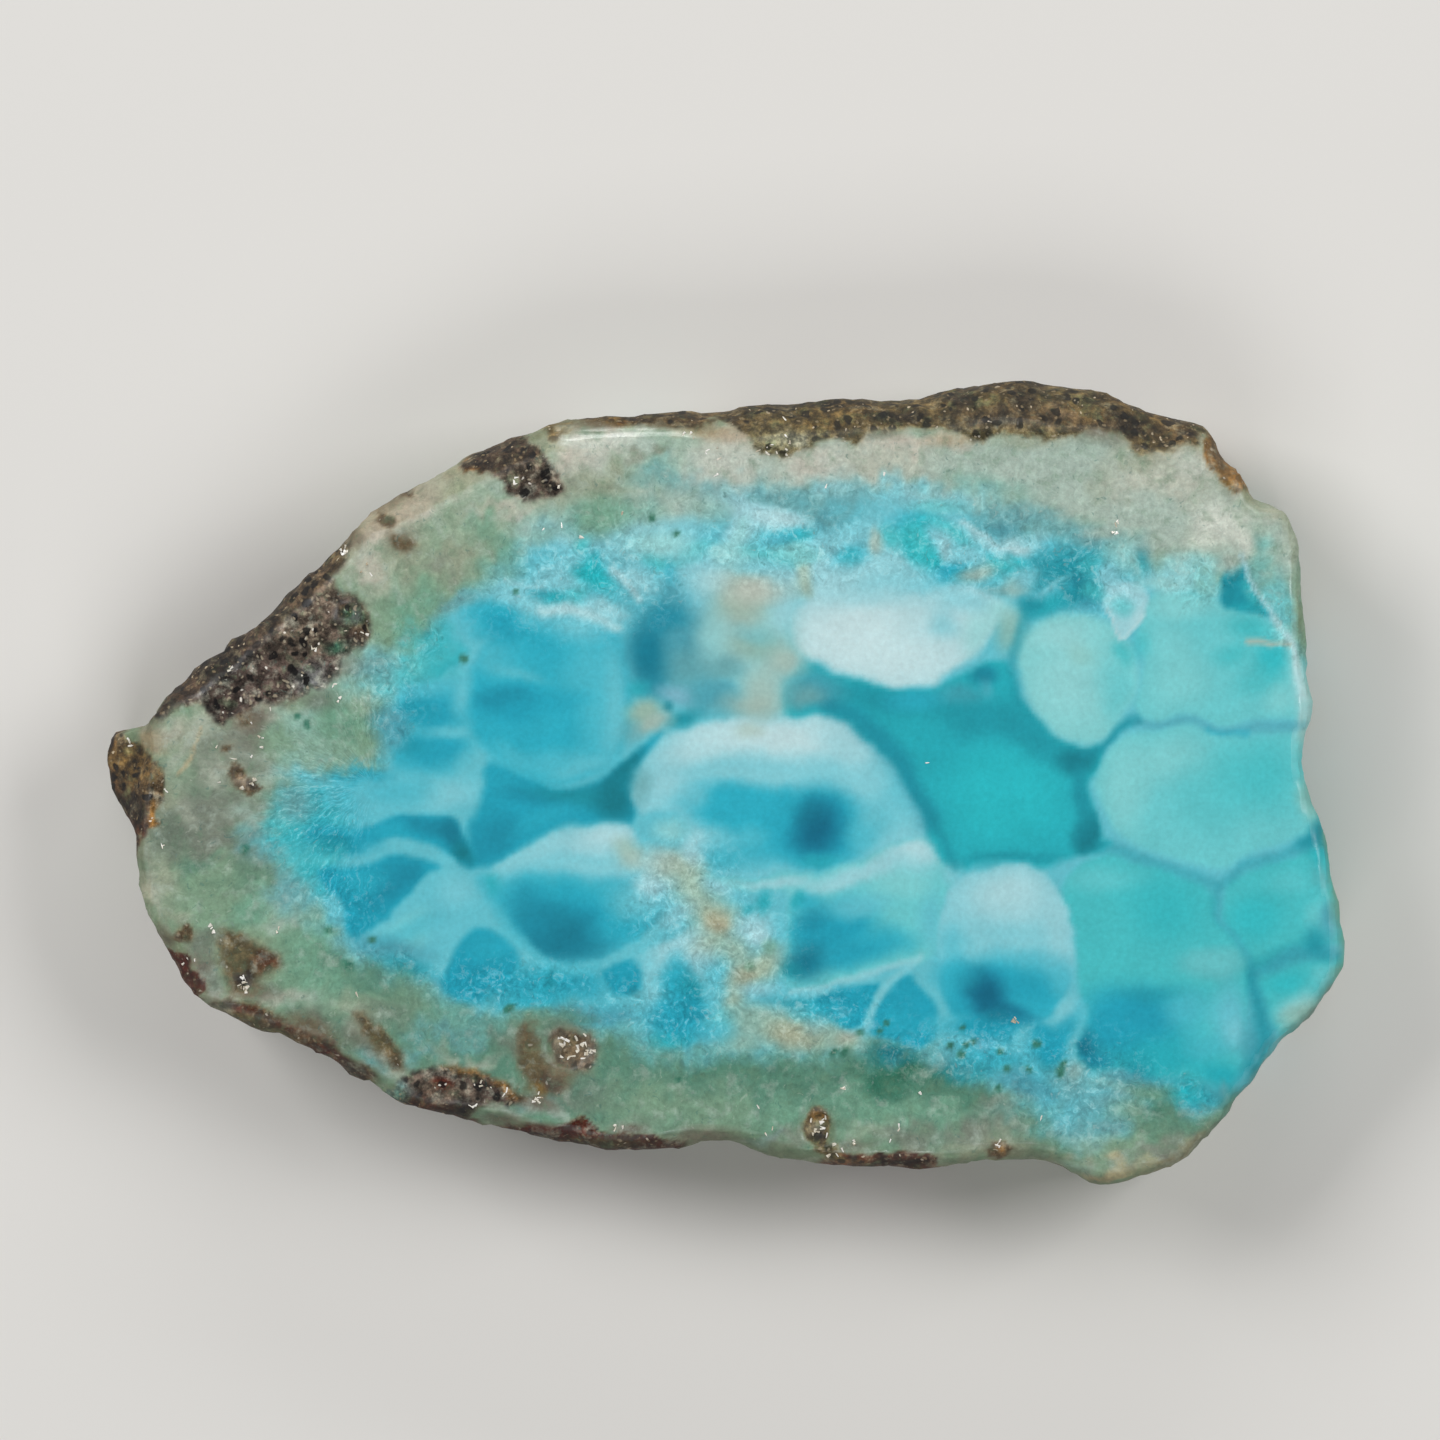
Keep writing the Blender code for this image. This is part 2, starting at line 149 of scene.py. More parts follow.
# Soft spots of the border, in mm: tint, middle, half length and width, then amount, turn, softness
BORDER = (
    ("jade", -12, -13.5, 9, 3.2, 1, -8), ("jade", 2, -14.6, 12, 2.6), ("jade", 16, -16, 7, 2.4),
    ("drab", -25.5, -2.2, 3.4, 3), ("fog", 4, 15, 16, 2.2, 1, 2), ("fog", 19, 14.5, 7, 2.6),
    ("shell", -17.2, 12.3, 1.7, 0.9, 0.95, 45), ("shell", -15, 13.3, 1.7, 0.7, 1, 42),
    ("chalk", -13, 14.3, 1.9, 0.8, 1, 30), ("ash", -13.2, 14.3, 0.9, 0.35, 0.6, 30),
    ("reed", -12.2, 12.8, 1.8, 0.9, 1, 20), ("moss", -10.9, 11.7, 1.2, 1),
    ("moss", -11.6, 12.4, 0.7, 0.5, 0.5), ("lichen", -15.8, 10.9, 1.7, 0.9, 1, 45),
    ("shell", -16.6, 9.4, 1, 0.9, 0.7, 50), ("reed", -15.9, 9.5, 0.9, 1.1, 0.8),
    ("moss", -15.3, 8.2, 1.4, 1.2, 1, 20), ("lichen", -13, 11, 1.8, 0.7, 1, 20),
    ("ash", -14.2, 10.7, 0.5, 0.3, 0.6, 10), ("ash", -13.1, 10.2, 0.6, 0.3, 0.6, 10),
    ("sage", -17, 7.9, 0.8, 1.4, 0.7), ("reed", -10, 12.7, 1, 0.6, 0.8, 10),
    ("shell", -10.2, 13.5, 1.6, 0.3, 0.7, 12), ("chalk", -7.2, 15.5, 1.4, 1.2, 1, 10),
    ("lichen", -6.8, 14.3, 1.8, 0.8, 0.8, 8), ("ash", -7.6, 14.5, 0.5, 0.4, 0.5),
    # The shell and pearl streaks on the upper left shoulder are partly pale border and partly a painted
    # highlight
    ("lichen", -5, 14.6, 1.4, 0.9, 0.9), ("shell", -6.2, 16.4, 2, 0.5, 1, 5),
    ("shell", -7.4, 16.4, 0.7, 0.8, 0.7), ("pearl", -5.2, 16.1, 1.2, 0.4, 0.8, 5),
    ("reed", -8.6, 16.6, 0.6, 0.4, 0.6), ("celadon", -3.2, 15, 1.3, 0.9),
    ("slate", -2.4, 14.7, 1.4, 0.7, 0.55), ("fog", -4, 16.2, 1, 0.5, 0.9),
    ("umber", -4.5, 15.8, 0.5, 0.2, 0.3, 20), ("umber", -3, 16, 0.5, 0.2, 0.4),
    ("pearl", -0.2, 15.3, 1.3, 1.1), ("slate", -0.6, 14.4, 0.8, 0.5, 0.5), ("pearl", 0.2, 16.4, 1.2, 0.6),
    ("pearl", 5, 15.4, 2.4, 0.7, 1, 4), ("shell", 3.8, 15.6, 1, 0.4, 0.6), ("chalk", 7.9, 15.8, 1.9, 0.8),
    ("shell", 8.2, 16.6, 1.6, 0.4, 1, 3), ("shell", 10.4, 16.6, 1.4, 0.4, 0.8),
    ("celadon", 13, 14.2, 2.2, 0.7), ("ice", 8.2, 14.4, 1.6, 0.4, 0.6), ("fog", 14.2, 15.2, 1.8, 0.9),
    ("lichen", 18.2, 14.4, 0.6, 0.9, 0.5), ("chalk", 20.4, 14.9, 1.8, 1.2),
    ("lichen", 20.2, 15.6, 1.4, 0.4, 0.6, -8), ("chalk", 22.4, 14.6, 1.8, 1.6),
    ("pearl", 22.8, 15.4, 0.9, 0.8, 0.7), ("fog", 19.4, 13.2, 1.8, 0.7), ("fog", 21.8, 12.7, 1.9, 0.8),
    ("drab", -17.5, 6, 0.8, 0.8, 0.8), ("shell", -17.6, 10.4, 0.9, 0.5, 0.8, 10),
    ("shell", -26.9, 2.4, 0.9, 0.8, 0.9, 30), ("lichen", -26, 1.9, 1.2, 1.2, 0.8),
    ("tan", -27.6, 1.7, 0.5, 0.6, 0.8, 30), ("chalk", -25.2, 2.9, 0.8, 0.8, 0.7),
    ("ash", -24, 1.4, 1.5, 1.4, 0.9), ("chalk", -24.8, 0.3, 0.6, 0.5, 0.6),
    ("fog", -23.4, 1.7, 0.6, 0.5, 0.5), ("chalk", -22.3, 3.3, 1.1, 0.6, 0.8),
    ("celadon", -20.3, 2.9, 1.3, 0.9, 0.9), ("moss", -18.2, 3.2, 1.5, 1.3),
    ("fern", -18.4, 2.4, 0.8, 0.5, 0.3), ("reed", -17.4, 4.2, 0.9, 0.8, 0.7),
    ("celadon", -19.8, 1, 1.4, 1, 0.8), ("fog", -22.2, 0.4, 1.2, 0.7, 0.6),
    ("ash", -24.6, -1.2, 1.8, 0.7, 0.8), ("lichen", -26.7, -0.9, 0.7, 0.7, 0.8),
    ("chalk", -26, -1.6, 0.4, 0.7, 0.4), ("ash", -24.2, -2.6, 1.4, 0.9, 0.8),
    ("slate", -22.4, -3, 1.1, 0.9, 0.8), ("fog", -22.8, -1.4, 0.8, 0.6, 0.6), ("sage", -25.2, -4.6, 1.8, 1),
    ("fern", -25.6, -3.9, 0.8, 0.35, 0.5, 10), ("lichen", -27.2, -4.8, 0.7, 1.4, 1, 14),
    ("chalk", -27.6, -5.4, 0.35, 1.2, 0.8, 14), ("sage", -25.6, -6.1, 1.4, 0.9),
    ("lichen", -26.8, -6.6, 0.7, 0.7, 0.8), ("moss", -23.2, -6, 1.4, 0.8, 1, 50),
    ("fern", -23.4, -4.6, 0.9, 0.5, 0.4, 20), ("celadon", -21.2, -5.8, 1.2, 0.9, 0.8),
    ("slate", -21.7, -4.8, 0.7, 0.7, 0.7), ("fog", -21.6, -7, 1, 0.4, 0.8),
    ("moss", -20, -8, 1.6, 0.8, 1, -10), ("moss", -19.2, -9.6, 1.7, 0.9, 1, -10),
    ("fern", -18.8, -8.6, 1, 0.4, 0.5), ("celadon", -18, -7.7, 0.9, 0.6, 0.7),
    ("jade", -16.8, -9.1, 1.8, 0.8, 1, 10), ("chalk", -22, -10.3, 2, 0.4, 0.8, -8),
    ("chalk", -24.6, -10.2, 1, 0.4, 1, -30), ("fog", -25.1, -8.8, 0.5, 1, 1, 10),
    ("shell", -20, -11.9, 0.7, 0.4, 0.5), ("lichen", -17.9, -10.6, 1.2, 0.6, 0.7),
    ("chalk", -17.8, -11.6, 0.5, 0.8, 0.5, 30), ("slate", -17.2, -13.3, 0.9, 0.6, 0.7, -30),
    ("drab", -16.2, -11, 1.4, 0.6, 0.5), ("slate", -14.2, -12.1, 1.4, 0.6, 0.6, -5),
    ("slate", -12.2, -12, 1.4, 0.6, 0.5), ("moss", -13.6, -11.2, 1.8, 0.5, 0.6),
    ("slate", -14.9, -13.3, 1, 0.4, 0.6), ("fog", -16, -14.1, 0.8, 0.4, 0.8, -20),
    ("shell", -12.4, -13.3, 1.6, 0.25, 0.5, -8), ("drab", -10, -12.6, 1, 0.7, 0.8),
    ("fog", -10.8, -16, 1.1, 0.35, 0.8, -8, 0.7), ("fog", -8.4, -16.2, 1.2, 0.35, 0.8, -10, 0.7),
    ("slate", -9.2, -15.6, 1, 0.3, 0.6), ("shell", -8, -14.9, 0.9, 0.3, 0.6, -20),
    ("drab", -6.6, -15, 1.4, 0.6, 0.6, -10), ("sage", -3.4, -15.4, 2, 0.8, 0.8),
    ("fern", -5.2, -13.4, 1.4, 0.6, 0.4), ("reed", -4.6, -16.4, 1.2, 0.4, 0.5),
    ("fern", 0, -13.9, 2, 0.6, 0.8), ("sage", 0, -16, 2.2, 0.7, 0.7), ("fern", 3.2, -14, 1.8, 0.7, 0.5),
    ("moss", 3, -15.9, 1.8, 0.7, 0.7), ("ash", 3.2, -17.2, 1, 0.5, 0.8),
    ("lilac", 1.9, -17.2, 0.8, 0.3, 0.3), ("moss", 6.4, -15.2, 1.4, 0.6, 0.7),
    ("pine", 8.1, -14, 1.5, 0.9, 0.95), ("fern", 6.2, -13.7, 0.9, 0.5, 0.7),
    ("moss", 8.2, -16.1, 2, 0.6, 0.9), ("reed", 7.2, -17, 1.4, 0.5, 0.7),
    ("ash", 9.2, -17.2, 0.8, 0.5, 0.8), ("fern", 11.3, -14.8, 1.7, 0.7, 0.95, -5),
    ("pine", 10.6, -14.2, 0.8, 0.4, 0.7), ("moss", 10.6, -16, 1.2, 0.5, 0.8),
    ("ash", 12.2, -17, 1.6, 0.8, 0.9), ("lichen", 11.6, -17.8, 1.4, 0.4, 0.7),
    ("slate", 14, -16, 1.2, 0.6, 0.4), ("lichen", 14.2, -17.4, 1.2, 0.6, 0.7),
    ("ash", 13.2, -15.6, 1, 0.4, 0.6), ("lichen", 17, -18.5, 1.6, 0.4),
    ("straw", 17.8, -18.9, 1.4, 0.3, 0.7), ("sage", 19, -17.6, 1.6, 0.7, 0.9),
    ("straw", 19.4, -18.8, 1.6, 0.3, 0.6, 8), ("ash", 21, -17.9, 1.4, 0.5, 0.9, 20),
    ("straw", 21.6, -18.5, 1.2, 0.35, 0.6, 30), ("fern", 21, -15.5, 1.5, 0.8, 0.95, -10),
    ("jade", 22.4, -16.2, 1, 0.9, 0.9, 30), ("straw", 23.2, -17.2, 0.9, 0.3, 0.6, 48),
    ("moss", 23.4, -16.2, 0.6, 0.7, 0.7, 40), ("celadon", 27, 10.2, 1.3, 2.4, 1, 5),
    ("pearl", 26.6, 12.8, 1.2, 0.8, 0.8, -10), ("reed", 27.4, 12.2, 0.6, 1.2, 0.6, 5),
    ("fog", 26.4, 11.6, 0.9, 0.7, 0.7), ("aqua", 26, 10.9, 0.5, 0.6, 0.3),
    ("seafoam", 26.9, 8.6, 0.8, 1.2, 0.7, 8), ("slate", 27.3, 9.4, 0.4, 1.2, 0.3, 8),
)

# Where the border gives way to the blue, in mm
INTERIOR = (
    -14.6, 7, -13.4, 8.4, -12, 9.5, -10.2, 10.8, -9.2, 12.1, -7, 12.3, -4.8, 12.5, -2.6, 13.2, -0.6, 13.9,
    1.6, 14.1, 4, 13.9, 7, 14.4, 10, 14, 13, 13.2, 15.8, 12.4, 18, 11.4, 20, 10.6, 22, 9.8, 23.6, 9.6, 24.9,
    10.7, 26, 9, 27, 7.3, 27.7, 6.3, 29.5, 5.5, 31, 3, 31, -12, 27, -15.5, 24.2, -16.2, 22.6, -15.2, 20.6,
    -14.4, 19.6, -16, 18, -17, 15.9, -16.6, 13.8, -14.8, 11.8, -13.9, 10.1, -13.4, 9, -12.9, 6.6, -12.7,
    3.6, -12.9, 1.2, -12.9, -1.2, -13, -3.6, -12.8, -5.4, -12.3, -6.8, -11.4, -8.6, -10.9, -11, -11, -13.4,
    -10.9, -14.4, -9.8, -15.9, -8.7, -17.8, -8.2, -19.6, -6.9, -20.7, -5.3, -21.6, -3.6, -22, -2.2, -21.2,
    -0.8, -19.8, 0, -17.6, 0.6, -16.2, 1.6, -16, 3.4, -16.6, 5.2,
)

# The spine that the border fibres point away from, in mm, and how deep they comb into the blue
SPINE_ENDS = (-17.0, 17.0)
SPINE_HEIGHT = 0.0
FIBRE_RADIUS = 11.0
COMB_DEPTH = 0.3

# Where white wisps run through the blue, in mm: middle, half length and width, amount, turn
WISPS = (
    (-6.5, 10.2, 5, 2.4, 1, 8), (3, 11.6, 5, 2.2, 1, 0), (11.5, 11.2, 4.8, 1.8, 1, 0),
    (17.5, 10.4, 2.6, 2, 1, 0), (-20, -1, 2.2, 3, 1, 0), (-19, -5.4, 1.8, 2, 1, 30),
    (-16.6, 4.6, 1.8, 2.4, 1, 0), (-2, -5.6, 2.6, 2.6, 1, -30), (0.4, -8.6, 2.6, 3, 1, 0),
    (-2.6, -11, 3.6, 1.8, 1, 0), (4, -11.4, 3.6, 1.4, 1, 0), (12.4, -13, 4.2, 1.2, 1, 0),
    (17.4, -14.8, 3.2, 2.4, 1, 0), (-10.5, -9.8, 4, 1.2, 1, 0),
)

# Soft spots between the cells
WEB = (
    ("celadon", -18.8, 5.2, 1.4, 1.2, 0.6), ("mint", -17, 5.6, 1.4, 1.2, 0.8),
    ("aqua", -15, 5.4, 1.6, 0.8, 0.8), ("teal", -13.7, 6.1, 0.9, 0.5, 0.7, 20),
    ("aqua", -14.6, 6.8, 1.2, 0.8, 0.7), ("teal", -14, 7.2, 0.8, 0.6, 0.5),
    ("haze", -19.8, -0.4, 1.6, 0.8, 0.8, -30), ("sky", -17.4, -0.4, 2, 0.9, 1, -10),
    ("blue", -17.4, 0.3, 1.6, 0.5, 0.6, -20), ("aqua", -21, -2, 1.5, 1.2, 0.7),
    ("teal", -21.2, -2.6, 1, 0.7, 0.5), ("teal", -19.4, -1.4, 1, 0.9, 0.6, -30),
    ("blue", -18.6, -2.6, 1.5, 0.8), ("petrol", -18.9, -2.9, 0.9, 0.5, 0.8),
    ("aqua", -20, -3.9, 1.3, 0.9, 0.7), ("teal", -19.9, -4.6, 0.8, 0.7, 0.5),
    ("slate", -12.8, 8.8, 0.9, 0.6, 0.9, 10),
)

# Cells of the pectolite: ground tint, soft edge, outline, and spots that stay inside
CELLS = (
    # Pale saddle
    ("haze", 0.8, (
        -18, -0.5, -16, 0.2, -14.2, 0.5, -12.8, 1.5, -11.9, 1.4, -11.6, 0.4, -11.9, -0.9, -12.5, -1.9,
        -13.3, -1.6, -15, -1.4, -17, -1.5,
    ), (
        ("pale", -13.2, -0.5, 1.2, 0.7, 0.8, 10), ("sky", -16, -0.4, 1.6, 0.6, 0.8),
    )),
    # Scallops
    ("sky", 0.9, (
        -15.8, 4.3, -14.8, 5, -13.1, 4.9, -12.4, 4.3, -12.3, 3, -12.1, 2, -12.6, 1, -13.6, 0.4, -15, 0.3,
        -16, 0.9, -15.9, 2.6,
    ), (
        ("blue", -14.4, 3.3, 1.6, 0.95, 0.9, 8, 0.5), ("petrol", -14.9, 3.4, 0.9, 0.5, 0.35),
        ("blue", -14.2, 1.5, 1.5, 0.85, 0.9, 0, 0.55), ("petrol", -15.2, 1.6, 0.9, 0.4, 0.35),
        ("azure", -16, 1, 0.8, 0.5, 0.6), ("haze", -13.2, 2.4, 1.1, 0.3, 0.8, 6),
        ("haze", -12.7, 4.2, 0.5, 0.7, 0.9), ("sky", -15.6, 2.5, 1.2, 0.28, 0.8),
        ("haze", -12.5, 0.9, 0.6, 0.5, 0.8),
    )),
    # Left wedge
    ("blue", 0.5, (
        -19.6, -4.3, -17.6, -3.8, -15.6, -3.5, -14, -3.85, -14.2, -4.4, -15.1, -5.3, -16.2, -6.5, -17.4,
        -7.6, -18.2, -7.3, -18.5, -6, -19, -5.2,
    ), (
        ("deep", -16.2, -4.9, 1.3, 0.7, 1, 35), ("azure", -17.6, -4.7, 1, 0.6, 0.7),
        ("deep", -15.3, -4.6, 0.6, 0.6, 0.8),
    )),
    # Upper wedge
    ("blue", 0.45, (
        -18, -2.2, -16.4, -1.75, -15, -1.5, -13.6, -1.6, -12.9, -2.1, -12.3, -3, -11.8, -3.7, -12.5, -3.95,
        -13.4, -3.4, -14.4, -2.9, -15.6, -2.65, -17.2, -2.8,
    ), (
        ("deep", -14.2, -2.1, 1.2, 0.4, 1, -10), ("ink", -13.2, -2.5, 0.5, 0.6, 1, 30),
        ("node", -12.7, -3.3, 0.6, 0.5, 1, -40), ("azure", -16.4, -2.3, 1, 0.4, 0.5),
    )),
    # Pale fan
    ("haze", 0.5, (
        -12.4, -4.1, -13.8, -4.2, -15, -5.2, -16.2, -6.4, -17.6, -7.8, -16.6, -8.5, -14.8, -9.2, -13.7,
        -9.9, -13.2, -8.6, -12.4, -7.2, -11.2, -6.6, -11.6, -5.2,
    ), (
        ("pale", -13, -5.1, 0.8, 0.8, 0.5), ("mint", -15.6, -7.6, 1.4, 0.7, 0.8, 40),
    )),
    # Lower left cell
    ("blue", 0.5, (
        -12, -6.9, -11, -7.1, -10.3, -7.9, -10.1, -8.8, -10.8, -9.6, -12, -10.2, -13.2, -10.2, -13.7, -9.8,
        -13.2, -8.7, -12.6, -7.7,
    ), (
        ("azure", -11.3, -7.9, 0.9, 0.7, 0.6), ("deep", -12, -9.2, 0.9, 0.5, 0.6),
    )),
    # Crown
    ("sky", 0.4, (
        -12, -4.1, -10.8, -3.5, -9.3, -2.95, -7.8, -2.25, -6.6, -1.8, -5.6, -1.6, -4.8, -1.8, -4.3, -2.6,
        -3.5, -3.6, -3, -5, -3.2, -6.2, -4, -7.3, -5, -8, -6, -8.5, -7.2, -8.8, -8.4, -8.6, -9.4, -8, -10.2,
        -7.2, -10.9, -6.2, -11.5, -5.2,
    ), (
        ("pale", -9.6, -3.4, 2.4, 0.8, 1, 22, 0.7), ("ice", -6.2, -2.8, 2.4, 0.9, 1, 12),
        ("milk", -5.8, -2.3, 1.1, 0.5, 0.7, 10), ("pale", -6.6, -4.1, 2.4, 0.5),
        ("azure", -8.3, -5.5, 3, 0.8), ("teal", -11.4, -4.7, 0.5, 0.5, 0.8),
        ("blue", -7.6, -6.8, 3.2, 1.2, 1, 0, 0.6), ("ink", -8, -7.4, 2, 1),
        ("deep", -9.2, -6.4, 1.4, 0.8, 0.8, -40), ("azure", -5.2, -6.9, 1.2, 0.7, 0.8, 20),
        ("haze", -4.2, -5.6, 1.3, 0.8, 0.9), ("pale", -3.6, -4.6, 0.9, 0.8, 0.8),
        ("ink", -7.3, -7.9, 1.5, 0.5, 0.5),
    )),
    # Blue bay
    ("blue", 0.55, (
        -11.6, 0.9, -10.5, 0.75, -9.5, 0.4, -8.4, -0.05, -7, -0.3, -6, 0.1, -5.2, 0.8, -4.4, 1.5, -3.6, 2,
        -3, 2.3, -3.3, 1.6, -3.9, 0.7, -4.3, -0.5, -4.6, -1.7, -5.4, -1.55, -6.6, -1.75, -7.8, -2.15, -9.1,
        -2.8, -10.5, -3.4, -11.8, -3.9, -12.3, -3.2, -12.4, -2.2, -12, -1.2, -11.7, 0,
    ), (
        ("deep", -11.2, -2.6, 1.2, 0.9, 0.8, 30), ("azure", -10.9, 0.1, 0.9, 0.6, 0.4),
        ("petrol", -7.4, -0.6, 1.8, 0.45, 1, -8), ("azure", -8.6, -1.7, 1.4, 0.5, 0.6, 25),
        ("node", -5.4, -0.5, 0.9, 1.2, 1, -15), ("node", -4.6, 1, 0.45, 1, 0.9, -32),
        ("ink", -9.6, -0.6, 1.6, 0.4, 0.35, -12),
    )),
    # Upper left cell
    ("azure", 0.8, (
        -12.4, 4.4, -12.4, 3.2, -12.2, 2.3, -11.8, 1.5, -11, 1, -10, 0.6, -9, 0.2, -7.8, 0, -6.7, 0.15,
        -5.8, 0.6, -5.1, 1.3, -4.8, 2.3, -4.6, 3.4, -4.5, 4.5, -4.6, 5.8, -4.9, 7, -6.2, 7.7, -8.2, 7.9,
        -9.9, 7.6, -11.4, 6.6, -12.3, 5.6,
    ), (
        ("sky", -11, 6.1, 1.8, 0.8, 0.9, -8, 0.7), ("haze", -9.9, 5.3, 1.1, 0.25, 0.7, -14),
        ("sky", -6.6, 5.8, 1.5, 1.8, 0.8), ("sky", -5.9, 3.6, 1.1, 2.6, 0.9, 0, 0.7),
        ("haze", -5.3, 3.6, 0.6, 2.6, 0.9), ("sky", -7.6, 0.9, 2.2, 0.7, 0.9, -4, 0.7),
        ("haze", -6.6, 0.7, 1.4, 0.4, 0.6, 10), ("sky", -10.4, 1.3, 1, 0.5, 0.7, -20),
        ("blue", -10.6, 3.9, 1.5, 0.9, 1, 0, 0.6), ("deep", -11.2, 4.2, 0.9, 0.5, 0.6, 10),
        ("deep", -9.8, 4.3, 0.9, 0.3, 0.5, -10), ("blue", -8.4, 4.1, 1.4, 0.5, 0.6),
        ("azure", -9, 6.4, 1.4, 0.9, 0.8),
    )),
    # Dome
    ("pale", 0.55, (
        -4.3, 0.2, -3.9, 1.1, -3.1, 2, -2, 2.6, -0.8, 3.05, 0.6, 3.35, 2, 3.5, 3.4, 3.45, 4.8, 3.15, 6, 2.7,
        7, 2.05, 7.8, 1.3, 8.5, 0.4, 9.1, -0.7, 9.5, -1.8, 9.8, -2.6, 9, -2.8, 8, -3.2, 7, -3.5, 6, -3.8, 5,
        -4.1, 4, -4.2, 3, -4.1, 1.5, -4.3, 0, -4.5, -0.9, -4.3, -1.2, -3.4, -1.5, -2.4, -2.2, -1.5, -3.3,
        -1.3, -4.2, -1.3, -4.5, -0.6,
    ), (
        ("milk", 2, 2.3, 4.6, 1, 1, -4, 0.55), ("milk", -1.2, 1.7, 2, 0.7, 0.8, 20, 0.7),
        ("white", 3.2, 2.3, 2.6, 0.6, 0.6), ("ice", 5.8, 1.8, 1.6, 0.7, 0.8, -30),
        ("azure", 1.4, -1.3, 3.6, 1.25, 1, -3, 0.38), ("azure", 4.4, -2.2, 2.3, 1.9, 1, 0, 0.45),
        ("sky", -0.2, -3.6, 1.4, 0.8), ("azure", 2.2, -3.1, 1.8, 0.8, 0.8),
        ("sky", 1.4, -2.5, 0.7, 0.5, 0.7), ("blue", 4.5, -2.1, 1.8, 1.7, 1, 0, 0.7),
        ("core", 4.45, -2.2, 1.05, 1.15), ("ink", 4.2, -1.4, 0.8, 0.7, 0.5),
        ("teal", 4.6, -3.8, 1, 0.35, 0.6), ("haze", 7.2, -1.9, 1, 1.2, 0.9, -20),
        ("haze", 8.4, -0.4, 0.7, 1.7, 0.9, 28), ("sky", 6.6, -2.6, 0.7, 0.6, 0.7),
        ("pale", 7, 0.4, 0.8, 0.6, 0.7, -40), ("ice", -3, -0.2, 0.9, 0.7, 0.6),
        ("ice", -3.4, -2.2, 1.4, 0.9, 0.9), ("pale", -1.6, -0.7, 0.7, 0.6, 0.5),
        ("cream", 1.2, 2.6, 0.7, 0.4, 0.35),
    )),
    # Middle cell
    ("seafoam", 0.45, (
        -0.8, -4.6, 0, -4.65, 1.5, -4.45, 3, -4.25, 4.4, -4.3, 5.5, -4, 7, -3.6, 8.2, -3.15, 9.3, -2.75,
        10.1, -2.9, 10.7, -3.7, 11.2, -4.6, 10.6, -6, 10.2, -7.6, 9.6, -8.6, 8.5, -8.9, 7, -9.15, 5.5, -9.6,
        4, -9.9, 3, -9.8, 2.5, -9, 2.9, -8.2, 3.3, -7, 3.2, -6, 2.9, -5.2, 1.6, -5, 0.2, -5.2,
    ), (
        ("ice", 9, -3.6, 1.7, 0.9, 1, 22, 0.7), ("milk", 9.4, -3.3, 0.8, 0.45, 0.7, 15),
        ("ice", 6.2, -4.5, 2.6, 0.5, 0.9, 14, 0.7), ("ice", 2.4, -4.7, 1.8, 0.28, 0.9, 4),
        ("sky", 5.6, -5.9, 2, 0.6, 0.6, 8), ("blue", 5.2, -7.2, 2.2, 1.2, 1, 8, 0.5),
        ("azure", 3.9, -5.7, 0.7, 0.45, 0.8), ("azure", 7.4, -7.9, 1.6, 0.7, 0.9, 12),
        ("ink", 4, -8.7, 1.1, 0.75, 1, 15), ("petrol", 3.1, -9, 0.55, 0.35, 0.8),
        ("blue", 5.9, -8.4, 1.3, 0.6, 0.9, 12), ("seafoam", 9.2, -5.6, 1.2, 1.4, 0.8),
        ("mint", 8.4, -5, 1.4, 0.6, 0.7, 10), ("haze", 10, -6.8, 0.6, 1.4, 0.8),
        ("deep", 4.2, -6.6, 0.6, 0.5, 0.6),
    )),
    # Lower middle cell
    ("pale", 0.42, (
        11.3, -4.6, 12.2, -4.2, 13.5, -4.05, 15, -4.1, 15.9, -4.5, 16.4, -5.3, 16.7, -6.5, 16.9, -8, 16.9,
        -9.3, 16.3, -10.3, 15.5, -11.2, 14.8, -11.75, 13.5, -12.1, 12, -12.05, 11.2, -11.6, 10.6, -10.5,
        10.4, -9.2, 10.3, -8, 10.5, -6.5, 10.9, -5.4,
    ), (
        ("ice", 14, -5.6, 2.4, 1.5, 1, 0, 0.7), ("milk", 13.8, -5.2, 1.4, 0.7, 0.5),
        ("pale", 13, -7.4, 2.6, 0.7), ("ice", 16.1, -7, 0.6, 1.4, 0.6, 5),
        ("azure", 13.4, -10.3, 3.4, 1.9, 1, 0, 0.45), ("sky", 14.9, -8.4, 1.2, 0.4, 0.5),
        ("sky", 11, -7.6, 0.7, 0.6, 0.6), ("blue", 13.6, -9.7, 2.4, 0.8, 0.8, 0, 0.7),
        ("core", 12.6, -10.2, 0.9, 1, 1, 25), ("core", 13.5, -11.2, 1.2, 0.5, 0.85, -12),
        ("ink", 11.8, -9.3, 0.6, 0.6, 0.7), ("sky", 16.2, -9.3, 0.6, 0.7, 0.7),
        ("blue", 11.2, -10.8, 0.6, 0.6, 0.6),
    )),
    # Teal bay
    ("teal", 0.5, (
        4.3, 5.9, 5.5, 5.3, 7, 4.9, 8.5, 4.6, 10, 4.6, 11.3, 5, 12, 5.5, 12.8, 6.1, 13.7, 6, 14, 5.2, 14.3,
        4.4, 14.9, 3.6, 15.6, 2.9, 16.4, 2.2, 17.2, 1.95, 18.2, 1.9, 18.3, 1.1, 17.8, 0, 17.8, -1.4, 18.3,
        -2.5, 18.9, -3, 17.5, -3.3, 16.3, -3.8, 15.5, -4.15, 14.5, -3.95, 13, -3.9, 12, -4, 11.2, -4.3,
        10.7, -3.7, 10, -2.8, 9.6, -1.9, 9.2, -0.9, 8.6, 0.2, 7.9, 1.1, 7, 2, 5.8, 2.75, 4.5, 3.2, 3, 3.55,
        2.7, 4.8, 3.4, 5.5,
    ), (
